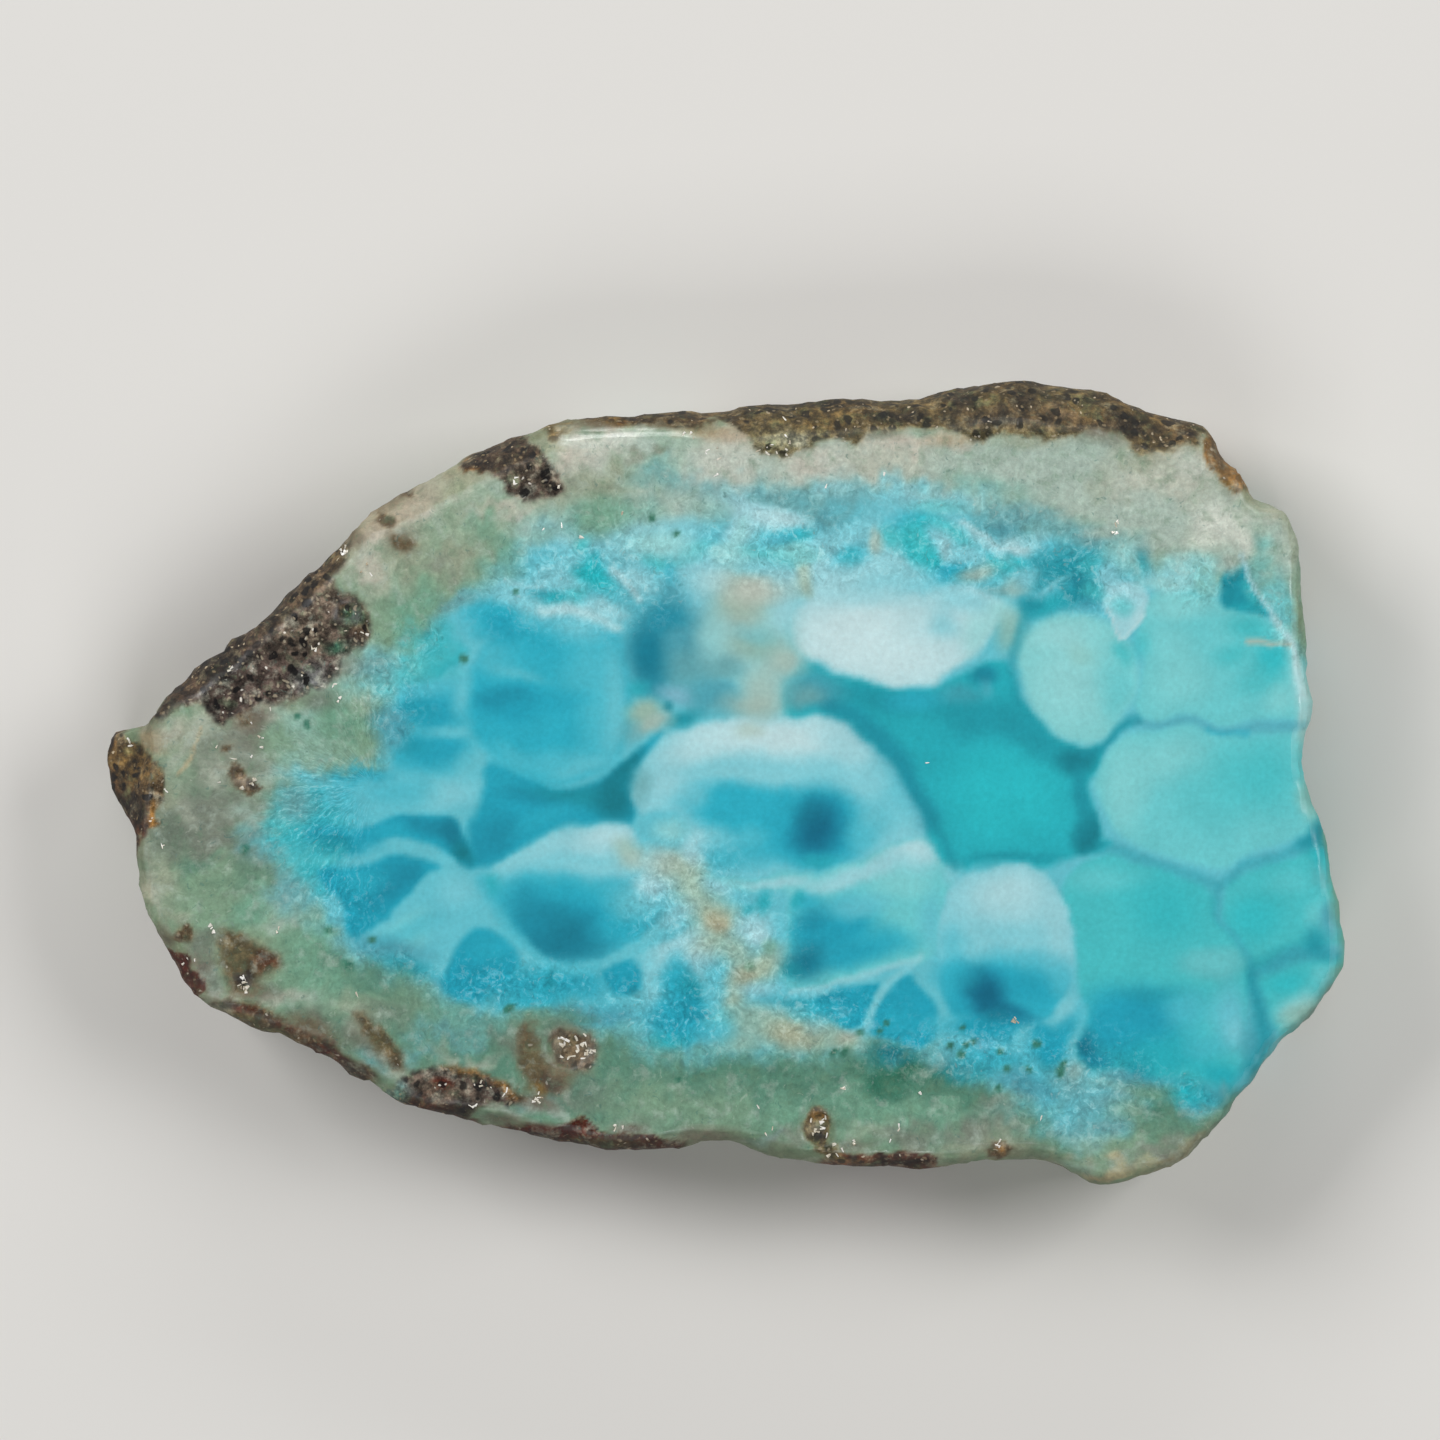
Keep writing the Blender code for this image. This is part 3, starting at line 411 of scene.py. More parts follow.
        ("lagoon", 13.6, -0.6, 2.8, 2.4, 1, 0, 0.6), ("petrol", 12.6, 3, 3.2, 0.9, 0.7),
        ("petrol", 7.6, 4, 2.6, 0.7, 0.8, -12), ("dusk", 4.3, 4.6, 1.3, 0.9, 0.9, -15),
        ("dusk", 11.4, 4.2, 1.2, 0.5, 0.6), ("ink", 12.6, 5.3, 0.6, 0.5, 0.8),
        ("teal", 9.6, 2.4, 1.4, 1, 0.7, -30), ("petrol", 15.2, 1.9, 1.4, 0.7, 0.6, -20),
        ("node", 17, 1.15, 0.9, 0.65, 1, 20), ("node", 17.6, -2.5, 0.75, 0.9),
        ("petrol", 17.3, -0.6, 0.45, 1.6, 0.9), ("petrol", 14, -3.7, 2.4, 0.25, 0.6),
        ("lilac", 12.7, 4.6, 0.25, 0.45, 0.25, 10),
    )),
    # White cell
    ("milk", 0.6, (
        3.5, 7, 4.2, 6.1, 5, 5.75, 6, 5.3, 7, 5, 8.3, 4.7, 9.5, 4.7, 10.5, 5, 11.3, 5.5, 12, 6.1, 12.6, 6.9,
        13.1, 7.8, 13.6, 8.8, 12.4, 9.5, 10.8, 9.5, 9.4, 9.9, 8, 10.3, 6.4, 10.2, 4.9, 9.9, 4, 9, 3.5, 8.1,
    ), (
        ("white", 6.2, 7.1, 2.4, 1.5, 0.9, 0, 0.7), ("white", 8.8, 6, 2.2, 0.9, 0.7, 0, 0.7),
        ("ice", 7.4, 9.3, 2.8, 0.7, 0.9), ("pale", 10.7, 7.7, 0.7, 0.6, 0.7, -40),
        ("foam", 12.5, 7.4, 0.8, 1.4, 0.8, -20),
    )),
    # Round cell
    ("mint", 0.7, (
        14.25, 5.8, 14.6, 4.5, 15.3, 3.3, 16.3, 2.4, 17.5, 2.05, 18.5, 2.35, 19.2, 3.15, 19.7, 4.2, 19.85,
        5.5, 19.6, 6.6, 19, 7.3, 18.1, 7.8, 17, 8, 15.8, 7.9, 14.9, 7.4, 14.4, 6.7,
    ), (
        ("foam", 16.6, 5, 1.5, 1.8, 0.6), ("foam", 16.2, 7, 1.3, 0.6, 0.7),
        ("seafoam", 19, 4.6, 0.7, 1.6, 0.9), ("aqua", 19.2, 6.4, 0.35, 0.6, 0.8, 20),
        ("celadon", 17.3, 6.3, 0.7, 0.5, 0.3),
    )),
    # Upper right cell
    ("seafoam", 0.5, (
        20.1, 8.6, 20.9, 9.2, 22.4, 9.3, 23.8, 8.8, 25, 8.35, 26.2, 8, 27, 7.5, 27.6, 6.4, 28.8, 5.2, 29.2,
        3.4, 27.5, 3.15, 26, 3, 24.5, 2.9, 23, 3.05, 21.5, 3.2, 20.3, 3.35, 19.8, 4, 20, 5, 20.1, 6.2, 19.9,
        7.2, 20, 7.9,
    ), (
        ("mint", 22, 8.7, 1.8, 0.6), ("mint", 21.8, 5, 1.4, 1.4, 0.7), ("aqua", 25.6, 7.4, 1, 0.6, 1, -10),
        ("aqua", 24.6, 6.2, 0.9, 0.5, 0.8), ("lagoon", 26.4, 5.9, 0.65, 0.8, 0.85),
        ("aqua", 25.9, 4.9, 1.1, 0.8, 0.7), ("mint", 26.9, 4, 0.9, 0.6, 0.8, 20),
        ("mint", 21.4, 7, 1, 1, 0.5),
    )),
    # Right cell
    ("seafoam", 0.55, (
        18.05, -0.2, 18.25, 0.9, 18.8, 1.75, 19.6, 2.4, 20.6, 2.7, 22, 2.75, 23.5, 2.6, 25, 2.45, 26.5, 2.5,
        28.6, 2.4, 28.8, 1.2, 28.8, 0, 29.2, -1, 28.9, -1.9, 28, -2.4, 27, -2.9, 26, -3.3, 25, -3.7, 23.8,
        -4, 22.5, -3.8, 21.2, -3.4, 20, -3, 19.1, -2.4, 18.4, -1.5,
    ), (
        ("mint", 19.4, -0.5, 1, 1.9, 0.9), ("mint", 21.2, 1.2, 2, 1, 0.8), ("aqua", 26, 0.5, 1.8, 1.8, 0.9),
        ("aqua", 23.6, -0.6, 1.6, 1.6, 0.4), ("celadon", 28.2, -0.8, 0.5, 0.8, 0.5),
    )),
    # Lower right cell
    ("aqua", 0.45, (
        16.7, -4.5, 17.4, -3.8, 18.3, -3.35, 19.5, -3.65, 20.8, -4.05, 22.2, -4.45, 23.3, -4.85, 23.8, -5.4,
        24, -6.4, 24.5, -7.5, 25.1, -8.5, 25.4, -9.3, 25.3, -10.5, 25.2, -12, 25.3, -13.2, 26.4, -14, 25,
        -15.6, 23.4, -15.6, 21.5, -14.9, 20, -14.3, 19, -13.9, 18, -13.9, 17.2, -13.2, 17.1, -12.2, 17.5,
        -11, 17.2, -10, 17, -8.5, 16.8, -7, 16.5, -5.4,
    ), (
        ("lagoon", 21.4, -6, 1.8, 1.4, 0.5), ("seafoam", 18.2, -4.5, 1.6, 0.6, 0.6),
        ("slate", 23.6, -8.8, 1.3, 0.7, 0.5, 5, 0.7), ("seafoam", 23.6, -8.6, 1.3, 0.6, 0.7, 5),
        ("blue", 19.6, -11.6, 2.6, 1.9, 1, 0, 0.5), ("petrol", 20.9, -10.15, 1.7, 0.4, 0.4, -3),
        ("sky", 22.4, -11, 1.1, 0.8, 0.7, 10), ("haze", 24.4, -11.3, 0.8, 1.5, 1, 5, 0.7),
        ("pale", 24.6, -12, 0.5, 0.6, 0.5), ("teal", 21.4, -13.2, 2, 1, 0.9),
        ("sky", 23.2, -12.6, 0.9, 0.6, 0.5), ("ink", 17.6, -12.7, 0.5, 0.8, 1, 20),
        ("deep", 18.1, -13.4, 0.7, 0.4, 0.8, -20), ("petrol", 20, -13.9, 0.6, 0.5, 0.8),
        ("teal", 24, -14, 1, 0.5), ("petrol", 24.3, -15.1, 0.5, 0.7, 0.8, -20),
        ("slate", 24.2, -14.8, 0.2, 0.5, 0.7, 10),
    )),
    # End cell
    ("aqua", 0.45, (
        24.2, -4.75, 25.4, -4.3, 26.8, -3.85, 28, -3.3, 29.3, -3, 30, -4.2, 30.4, -5.8, 30.7, -7.4, 29.3,
        -7.7, 28, -8, 26.8, -8.4, 25.6, -9, 25.1, -8.2, 24.5, -7.2, 24.2, -6,
    ), (
        ("lagoon", 25.6, -6.6, 1.1, 1, 0.6), ("seafoam", 28.9, -6.6, 0.7, 0.9, 0.8),
        ("seafoam", 27.4, -4.9, 1, 0.6, 0.4), ("slate", 28.9, -4.2, 0.5, 0.9, 0.4),
    )),
    # End cell below
    ("aqua", 0.6, (
        25.8, -9.4, 27, -8.9, 28.4, -8.5, 30.2, -8.5, 30, -10, 28.6, -11.4, 27.4, -12.4, 26.6, -12, 26.2,
        -10.8,
    ), (
        ("foam", 27.7, -10.9, 1.1, 0.6, 0.8, 30), ("celadon", 27.8, -11.2, 0.9, 0.5, 0.7, 30),
        ("seafoam", 29.2, -9.4, 0.6, 0.6, 0.8), ("lagoon", 27, -9.6, 1, 0.4, 0.6, 15),
    )),
    # Teal triangle
    ("petrol", 0.35, (
        24.9, 10.8, 25.5, 9.9, 26, 9, 26.5, 8.15, 25.6, 8.15, 24.6, 8.35, 23.95, 8.8, 23.85, 9.6, 24.1,
        10.3,
    ), (
        ("node", 24.3, 9.4, 0.3, 0.6, 0.3), ("aqua", 25.7, 9.1, 0.35, 0.9, 0.7, 32),
        ("teal", 25.3, 8.4, 0.8, 0.25, 0.7),
    )),
    # Arrowhead
    ("ice", 0.3, (
        18.1, 9.9, 18.2, 8.5, 18.6, 7.6, 19.05, 7, 19.6, 7.4, 20.2, 8.1, 20.35, 8.9, 20, 9.7, 19, 10,
    ), (
        ("seafoam", 19.1, 8.6, 0.55, 0.5, 0.9), ("milk", 19.8, 8.1, 0.25, 0.6, 0.5, -35),
    )),
    # Low wedge one
    ("blue", 0.3, (
        4.2, -10.6, 5.3, -10, 6.8, -9.65, 7.6, -9.8, 7.2, -10.6, 6.8, -11.3, 6.3, -11.9, 5, -11.7, 4.5,
        -11.1,
    ), (
        ("deep", 5, -10.8, 0.8, 0.4, 0.7), ("lilac", 5.5, -11.15, 0.45, 0.22, 0.9),
    )),
    # Low wedge two
    ("blue", 0.4, (
        9.1, -9.3, 9.8, -9.9, 10.3, -11, 10.2, -12.3, 9.4, -12.8, 8, -12.6, 7.1, -12.2, 7, -11.4, 7.6,
        -10.7, 8.3, -10,
    ), (
        ("azure", 8.4, -11.8, 1, 0.7, 0.5),
    )),
    # Small round cell
    ("blue", 0.45, (
        -5.9, -9.3, -5.5, -8.6, -4.6, -8.5, -3.95, -9.2, -3.9, -9.9, -4.5, -10.3, -5.3, -10.2,
    )),
)

# Spots laid over the cells, from the web at the top to the stains near the rim; the bone streak on the
# upper left shoulder is a painted highlight
DETAILS = (
    ("ice", -4.4, 12.2, 1.8, 1.2, 0.85), ("ice", -8.4, 12, 1.5, 1, 0.7), ("fog", -2, 13.4, 1.8, 0.8, 0.8),
    ("ice", 0.8, 13.6, 1.5, 0.6, 0.8), ("ice", 9.6, 13.6, 2.6, 0.5, 0.6),
    ("slate", 3.4, 13.9, 1.6, 0.4, 0.8), ("ice", 5.4, 14.2, 1, 0.4, 0.6), ("ice", 3.6, 10.3, 3.4, 1.6, 0.9),
    ("ice", 8.2, 11.2, 2.6, 1.5, 0.7), ("milk", 2.2, 13, 1.6, 0.5, 0.8, -8),
    ("pale", 6.4, 12.2, 1.5, 1.2, 0.7), ("aqua", 1.4, 11.4, 0.8, 0.9, 0.9),
    ("lagoon", 3, 12, 1.1, 0.3, 1, 8, 0.7), ("azure", 2.6, 11.85, 0.5, 0.28),
    ("aqua", 2.6, 11, 1.2, 0.45, 0.8), ("sky", 6, 11.1, 0.8, 0.5, 1, 30), ("teal", 6, 11.15, 0.4, 0.4, 0.7),
    ("lagoon", 9.3, 12.6, 0.85, 0.45, 1, 5, 0.7), ("lagoon", 9.15, 11.6, 0.65, 1, 1, 30, 0.6),
    ("lagoon", 9.9, 10.7, 0.75, 0.7, 1, 0, 0.7), ("azure", 10.8, 10.1, 1.1, 0.5, 1, 12, 0.7),
    ("azure", 11.4, 10.6, 0.6, 0.28, 0.9, 20), ("aqua", 8, 12.1, 0.5, 0.6, 0.9),
    ("aqua", 11.2, 12.1, 1.2, 0.3, 0.9, -28), ("sky", 9.9, 9.5, 1.2, 0.4, 0.5),
    ("ice", 10.8, 11.4, 0.45, 0.7, 0.9, 20), ("lagoon", 13.8, 10.85, 0.9, 0.35, 1, -8, 0.7),
    ("aqua", 13.2, 10.6, 0.8, 0.5, 0.6), ("slate", 13.2, 9.5, 0.7, 0.22, 0.9),
    ("milk", 14.2, 11.6, 0.9, 0.4, 0.8, -15), ("ice", 12.6, 11.7, 1.6, 0.25, 0.8, -32),
    ("fog", 7.2, 11.9, 0.32, 0.6, 0.8, 0, 0.7), ("cream", 3.8, 10.2, 0.4, 0.9, 0.8, 10),
    ("cream", 3.7, 9.6, 0.6, 0.5, 0.5), ("fog", 12.2, 10.2, 0.9, 0.35, 0.8, 20),
    ("fog", 14.2, 9.6, 0.6, 0.5, 0.6), ("slate", 2.6, 13.7, 1.3, 0.3, 0.7, -22),
    ("slate", 4.6, 13, 0.9, 0.5, 0.9, -15), ("dusk", 5, 12.7, 0.5, 0.4, 0.7),
    ("slate", 6.2, 13.8, 1.2, 0.6, 0.6), ("haze", 6, 13.2, 0.7, 0.4, 0.6, 30),
    ("slate", 13.5, 12.6, 1.3, 0.6, 0.9), ("dusk", 13.4, 12.3, 0.7, 0.3, 0.6),
    ("slate", 1.5, 14.1, 0.9, 0.3, 0.4), ("seafoam", 10.2, 13.3, 1.2, 0.35, 0.8),
    ("haze", 8, 13.4, 1.2, 0.5, 0.5), ("celadon", -0.7, 13.2, 1, 0.6, 0.6),
    ("pale", -2.4, 12.1, 1.7, 0.6, 0.8, 10), ("haze", -0.4, 12.2, 0.8, 0.8, 0.6),
    ("slate", -4.6, 11.6, 1.6, 0.8, 0.6), ("pale", -4.8, 11.4, 1.4, 0.6, 0.6),
    ("moss", -6.2, 12.9, 1.3, 0.9, 0.9, 10), ("moss", -4.6, 13.2, 1.4, 0.6, 0.5),
    ("pale", -9.6, 9.5, 1.6, 0.5, 0.8, -5), ("haze", -8.8, 11, 0.8, 1, 0.8),
    ("celadon", -9, 12.1, 1, 0.5, 0.7), ("ice", -7.5, 8.4, 2.2, 0.35, 0.8, -3),
    ("azure", -11.2, 7.9, 1.3, 0.9, 1, 0, 0.7), ("blue", -10.7, 7.5, 0.8, 0.6, 0.8),
    ("petrol", -8.8, 9.15, 0.5, 0.3, 1, -20, 0.7), ("teal", -8.2, 8.8, 0.5, 0.3, 1, 10),
    ("aqua", -7.2, 9.6, 0.5, 0.8, 0.9), ("lagoon", -6.5, 10.2, 0.8, 0.6, 1, -30, 0.6),
    ("lagoon", -5.8, 9.6, 0.75, 0.35, 1, -40, 0.7), ("teal", -6.1, 10.7, 0.2, 0.4, 0.8),
    ("aqua", -6.8, 11.4, 0.35, 0.4, 0.8), ("ice", -4.3, 9.8, 1, 0.6, 0.8, -10),
    ("haze", -5.2, 9, 0.9, 0.4, 0.7, -30), ("ice", -5.7, 8.5, 0.9, 0.35, 0.8, -20),
    ("aqua", -3, 10.8, 0.9, 0.35, 0.9, -5), ("azure", -2.6, 9.9, 0.25, 1, 0.8),
    ("aqua", -1.4, 11.2, 0.8, 0.45, 0.9, 30), ("dusk", -2.4, 6.8, 2, 2.2, 1, -15, 0.7),
    ("ink", -3.6, 6.2, 0.75, 1.7, 1, 8), ("deep", -2.9, 8.2, 0.9, 0.7, 0.8, 30),
    ("dusk", -2.7, 9.2, 0.4, 0.6, 0.7), ("slate", -1.6, 5.5, 1, 0.9, 0.6),
    ("lilac", -2.3, 4.3, 0.8, 0.4, 0.7, -15), ("petrol", -1.9, 3.2, 0.9, 0.3, 0.9, 25),
    ("node", -2.7, 3.6, 0.25, 0.3, 0.7, 30), ("dusk", -0.6, 4.2, 1, 0.7, 0.8),
    ("teal", -4.1, 4.7, 0.5, 0.4, 0.7), ("cream", -3.9, 3.4, 0.8, 0.65, 0.75, 0, 0.7),
    ("fog", -3.4, 2.8, 0.9, 0.4, 0.8, 20), ("slate", -4.6, 2.6, 0.5, 0.5, 0.5),
    ("fog", 1, 7.8, 1.8, 2.4, 0.8), ("foam", 2.6, 7, 1, 1.8, 0.7), ("cream", 0.8, 8.9, 1.3, 1, 0.45),
    ("foam", 1.9, 4.8, 1.1, 1.3, 0.7), ("fog", 1.9, 4.6, 0.8, 1.1, 0.7), ("slate", 0.1, 5.5, 0.8, 0.5, 0.8),
    ("dusk", 0.3, 4.2, 0.6, 0.5, 0.7), ("celadon", 1.6, 6.7, 1.3, 0.6, 0.7),
    ("haze", 1.4, 7.2, 0.9, 0.4, 0.4, -10), ("fog", 3, 6, 0.9, 0.7, 0.8),
    ("bone", -0.6, 9.7, 0.9, 0.5, 0.6, 10), ("ice", -1.2, 10, 1.2, 1.2, 0.7),
    ("fog", 1.4, 3.8, 1.4, 0.5, 0.7), ("ice", 3, 8.2, 0.7, 0.9, 0.7), ("ice", -3, -4.6, 1.2, 1, 0.6),
    ("cream", -4.8, -3.2, 0.8, 0.5, 0.55, -40), ("bone", -4.2, -3.6, 1.2, 0.5, 0.45),
    ("fog", -2.6, -3.9, 1.1, 0.6, 0.8, 15), ("cream", -1.8, -4.4, 0.9, 0.7, 0.7),
    ("milk", -1.4, -3.2, 0.5, 0.8, 0.6), ("milk", -3.6, -4.9, 0.8, 0.35, 0.5, -10),
    ("cream", -1.6, -5.4, 0.8, 0.7, 0.7, -30), ("ice", -0.3, -5.1, 0.8, 0.35, 0.7, -10),
    ("cream", -0.4, -6.6, 1.2, 0.9, 1, -30), ("tan", -0.3, -6.8, 0.6, 0.5, 0.5),
    ("ice", -2.3, -6.4, 0.9, 0.5, 0.6, 20), ("cream", -1, -7.8, 0.8, 0.6, 0.8),
    ("ice", -2.4, -7.9, 1.4, 0.45, 0.9, 22), ("milk", -1.4, -8.5, 0.8, 0.6, 0.6),
    ("ice", -1.6, -9.3, 0.5, 0.4, 0.8), ("ice", 1.4, -7, 0.9, 0.7, 0.9, 20),
    ("milk", 1.5, -7.3, 0.5, 0.4, 0.6), ("cream", 0.4, -8.2, 0.7, 0.6, 0.7),
    ("cream", 1.6, -8.8, 1.2, 0.7, 0.9, 35), ("tan", 0.8, -9.3, 0.6, 0.5, 0.5, 30),
    ("cream", 0.5, -10.4, 0.6, 0.7, 0.8), ("ice", 1.6, -9.9, 0.8, 0.4, 0.7),
    ("moss", 2, -7.8, 0.35, 0.35, 0.6), ("moss", 1.1, -8.65, 0.22, 0.22, 0.8, 0, 0.7),
    ("teal", 1.8, -5.7, 0.35, 0.6, 0.8), ("teal", 3.5, -5.5, 0.3, 0.4, 0.7),
    ("teal", 1.1, -6.1, 0.25, 0.25, 0.6), ("cream", 3, -11.8, 1.8, 0.8, 0.95, -8),
    ("tan", 3.4, -12.2, 1.2, 0.5, 0.35, -10), ("cream", 5.6, -12.4, 0.9, 0.45, 0.8, -15),
    ("shell", 5.9, -12.3, 0.5, 0.3, 0.4), ("pale", 4.4, -11.6, 0.6, 0.35, 0.5, 20),
    ("celadon", 1.2, -11.5, 1, 0.8, 0.9), ("seafoam", -0.2, -11.4, 0.8, 0.6, 0.8),
    ("celadon", 0.4, -12.5, 1.2, 0.4, 0.9), ("petrol", 3.2, -10.5, 1, 0.18, 0.7, -8),
    ("haze", 2.6, -10.2, 0.9, 0.25, 0.6), ("pale", 4.6, -10.15, 0.8, 0.15, 0.6, 5),
    ("azure", -8.8, -9.7, 1.8, 0.8, 0.9), ("blue", -7, -9.9, 1.4, 0.6, 0.7),
    ("petrol", -8.7, -10, 0.25, 0.8, 0.7, -18), ("sky", -9.8, -10.6, 1, 0.4, 0.6),
    ("sky", -6.2, -11, 1.2, 0.5, 0.8), ("pale", -3.4, -9.6, 0.45, 1.6, 0.9, 5),
    ("ice", -3, -8.6, 0.4, 0.5, 0.6), ("azure", -2.3, -9.6, 0.7, 1),
    ("petrol", -1.6, -10.2, 0.5, 0.8, 1, 10), ("deep", -1.2, -11.2, 0.8, 0.14, 0.7, 8),
    ("teal", -2.6, -12.3, 0.9, 0.4, 0.9, 10), ("petrol", -3.2, -11.7, 0.18, 0.15, 0.7),
    ("sky", -0.6, -12, 0.9, 0.6, 0.8), ("haze", -0.3, -10.4, 0.5, 0.7, 0.7),
    ("sky", 10.8, -11.7, 0.9, 0.5, 0.8, 10), ("lilac", 12.6, -12.5, 0.6, 0.35, 0.5),
    ("sky", 11.2, -13.1, 1, 0.5, 0.8), ("azure", 13.2, -13.3, 1.4, 0.7, 0.7),
    ("haze", 14.5, -12.5, 0.9, 0.5, 0.8), ("slate", 10.5, -13.3, 0.8, 0.5, 0.5),
    ("sky", 15.2, -14.4, 1, 0.7, 0.8), ("celadon", 14.2, -15, 0.9, 0.4, 0.7),
    ("blue", 15.8, -12.4, 0.6, 0.8, 0.9, -20), ("petrol", 15.6, -13.4, 0.4, 0.5, 0.7),
    ("sky", 16.9, -11.4, 0.5, 0.9, 0.8, -25), ("pale", 16.4, -10.7, 0.7, 0.3, 0.7, 40),
    ("haze", 16.8, -12.6, 0.3, 0.9, 0.7, -30), ("slate", 16.6, -14.3, 1, 0.7, 0.8),
    ("dusk", 14.1, -14.5, 1, 0.5, 0.9, -10), ("jade", 24.7, -15.7, 0.9, 0.8, 0.8, 30),
    ("jade", 23.7, -16.3, 0.9, 0.6, 0.6, 20), ("dusk", 23.2, -15.2, 1, 0.6, 0.8, 20),
    ("dusk", 21.6, -14.8, 1.4, 0.5, 0.8, -10), ("dusk", 25.4, -14.4, 0.6, 0.8, 0.8, -30),
    ("fog", 17, -13.8, 0.5, 0.5, 0.5), ("celadon", 19.2, -14.7, 1.2, 0.5, 0.8, -8),
    ("slate", 17.8, -15.3, 1.5, 0.6, 0.9), ("haze", 17, -15.4, 0.8, 0.4, 0.5, 20),
    ("slate", 16.9, -16.7, 1.2, 0.7, 0.8), ("haze", 16.3, -16.2, 0.6, 0.5, 0.6),
    ("slate", 18.8, -16.7, 0.8, 0.5, 0.8), ("sage", 19.4, -15.9, 0.8, 0.5, 0.6),
    ("celadon", 17.6, -17.4, 1, 0.4, 0.7), ("haze", 18.2, -14.9, 0.5, 0.3, 0.5),
    ("petrol", 16.6, 10.3, 1.5, 1, 0.9, 10), ("ink", 17.6, 9.6, 0.6, 1.1, 0.8, -5),
    ("petrol", 16.8, 8.9, 1.3, 0.4, 0.9, 32), ("teal", 15.5, 8.4, 0.9, 0.4, 0.9, 22),
    ("petrol", 15.2, 10.4, 0.4, 0.8, 0.5), ("slate", 17.6, 11.8, 0.8, 0.5, 0.9),
    ("slate", 16.4, 12.3, 1.2, 0.5, 0.6), ("pale", 15.9, 9.4, 0.9, 0.14, 0.7, 32),
    ("petrol", 14.8, 8.5, 0.6, 0.5, 0.9), ("slate", 14.4, 13, 1.6, 0.5, 0.8),
    ("foam", 22.2, 10.2, 1.2, 0.6, 0.7), ("fog", 21.8, 11.4, 1.6, 0.6, 0.7),
    ("ice", 15.2, 12, 0.4, 0.4, 0.4), ("foam", 19.4, 11.2, 1, 0.8, 0.7), ("slate", 18, 12, 1.2, 0.5, 0.8),
    ("slate", 20.3, 11.1, 0.45, 0.9, 0.9), ("teal", 20.3, 10.6, 0.3, 0.5, 0.5),
    ("pale", 21.4, 9.9, 1.2, 0.5, 0.8), ("foam", 22.8, 10.6, 1.4, 0.6, 0.8),
    ("mint", 23.3, 9.6, 0.4, 0.8, 0.7, 20), ("aqua", 20, 6.8, 0.4, 0.7, 0.6, -20),
    ("bone", 24.6, 12.4, 0.9, 1.1, 0.95, 20, 0.6), ("bone", 23.9, 13.2, 0.6, 0.6, 0.8),
    ("bone", 25, 11.4, 0.45, 0.7, 0.9, -15, 0.7), ("bone", 23.4, 12.3, 0.7, 0.5, 0.6),
    ("ash", 24.5, 14.2, 0.4, 0.5, 0.7), ("lichen", 25.2, 13.9, 0.3, 0.8, 0.8, 25),
    ("bone", 24.7, 13.8, 0.2, 0.15, 0.8, 0, 0.7), ("ice", 0.8, 12.9, 0.5, 1, 0.8, -25),
    ("milk", 2.4, 12.75, 1.4, 0.35, 0.7, -6), ("ice", 6.6, 10.1, 2.4, 0.8, 0.7),
    ("pale", 8.4, 9.9, 1.8, 0.6, 0.7), ("pale", 11.6, 8.9, 1.4, 0.5, 0.7),
    ("sky", 8.9, 12.8, 0.9, 0.4, 0.7), ("aqua", 9.3, 11.7, 0.5, 0.8, 0.8, 30),
    ("sky", 2.9, 12.05, 0.9, 0.25, 0.7, 6), ("foam", 13.6, 8.3, 0.8, 0.6, 1, -30),
    ("celadon", 13.9, 7.4, 0.7, 0.8, 0.7, -20), ("foam", -3.2, 11.6, 1.6, 0.6),
    ("ice", 1, 12.3, 0.9, 0.6, 0.9, 20), ("mint", 3.6, 11.2, 0.9, 0.4, 0.8),
    ("foam", 0.6, 10.9, 0.9, 0.6, 0.8), ("fog", 21.4, 11.7, 1.3, 0.5, 0.8),
    ("pale", 11.8, 11.3, 0.7, 0.4, 0.8, -20), ("pale", 1.8, 10.5, 1, 0.5, 0.8),
    ("foam", -2.6, -2.4, 0.8, 0.5, 0.7), ("shell", 0.4, 16.7, 1.2, 0.35), ("foam", 28.2, 3.2, 0.5, 1.2),
    ("ash", -24.4, -10.8, 0.8, 0.3, 0.9, -20), ("sage", -15.9, -15, 0.7, 0.35, 0.9, -20),
    ("shell", -15.6, 13.1, 1.9, 0.5, 0.8, 38), ("chalk", -13.4, 14.9, 1.5, 0.45, 0.8, 32),
    ("granite", -15.8, 11.7, 0.7, 0.5, 0.7), ("umber", -5, 17.5, 2.3, 0.3, 1, 3),
    ("umber", -3, 17.3, 1, 0.3), ("lagoon", 28.9, -3.3, 0.5, 0.9, 1, 10),
    ("petrol", 28.7, -2.3, 0.5, 0.6, 1, 20), ("blue", -11.2, -9.6, 1.6, 0.8, 0.8),
    ("blue", -12.2, -10.1, 0.9, 0.5, 0.8), ("azure", -9.2, -10.5, 1.2, 0.5, 0.9),
    ("moss", 20.9, -14.9, 1.3, 0.4, 1, -10), ("teal", 22.4, -15, 1, 0.5, 1, -10),
    ("petrol", -15.4, -8.9, 1.4, 0.5, 0.7, -20), ("dusk", -16.2, 2.6, 0.8, 0.8, 0.7),
    ("blue", -2.4, -11.6, 1.2, 0.7, 0.8), ("blue", -1.7, -10.8, 0.8, 0.6, 0.8),
    ("azure", 4.8, -11.1, 1.2, 0.5, 0.9, -8), ("blue", 12.6, -11.7, 1.4, 0.5, 0.9),
    ("petrol", 11.6, -13.9, 1.1, 0.5, 0.6), ("blue", 15.5, -12.6, 0.8, 0.7, 0.8),
    ("sage", -0.9, -16.9, 1.6, 0.5, 0.8), ("clay", -8.6, -17, 1, 0.3, 1, -6),
    ("granite", -25.2, -8.7, 0.7, 0.8, 0.8, 20), ("drab", -25.2, -7.7, 0.7, 0.5, 0.8),
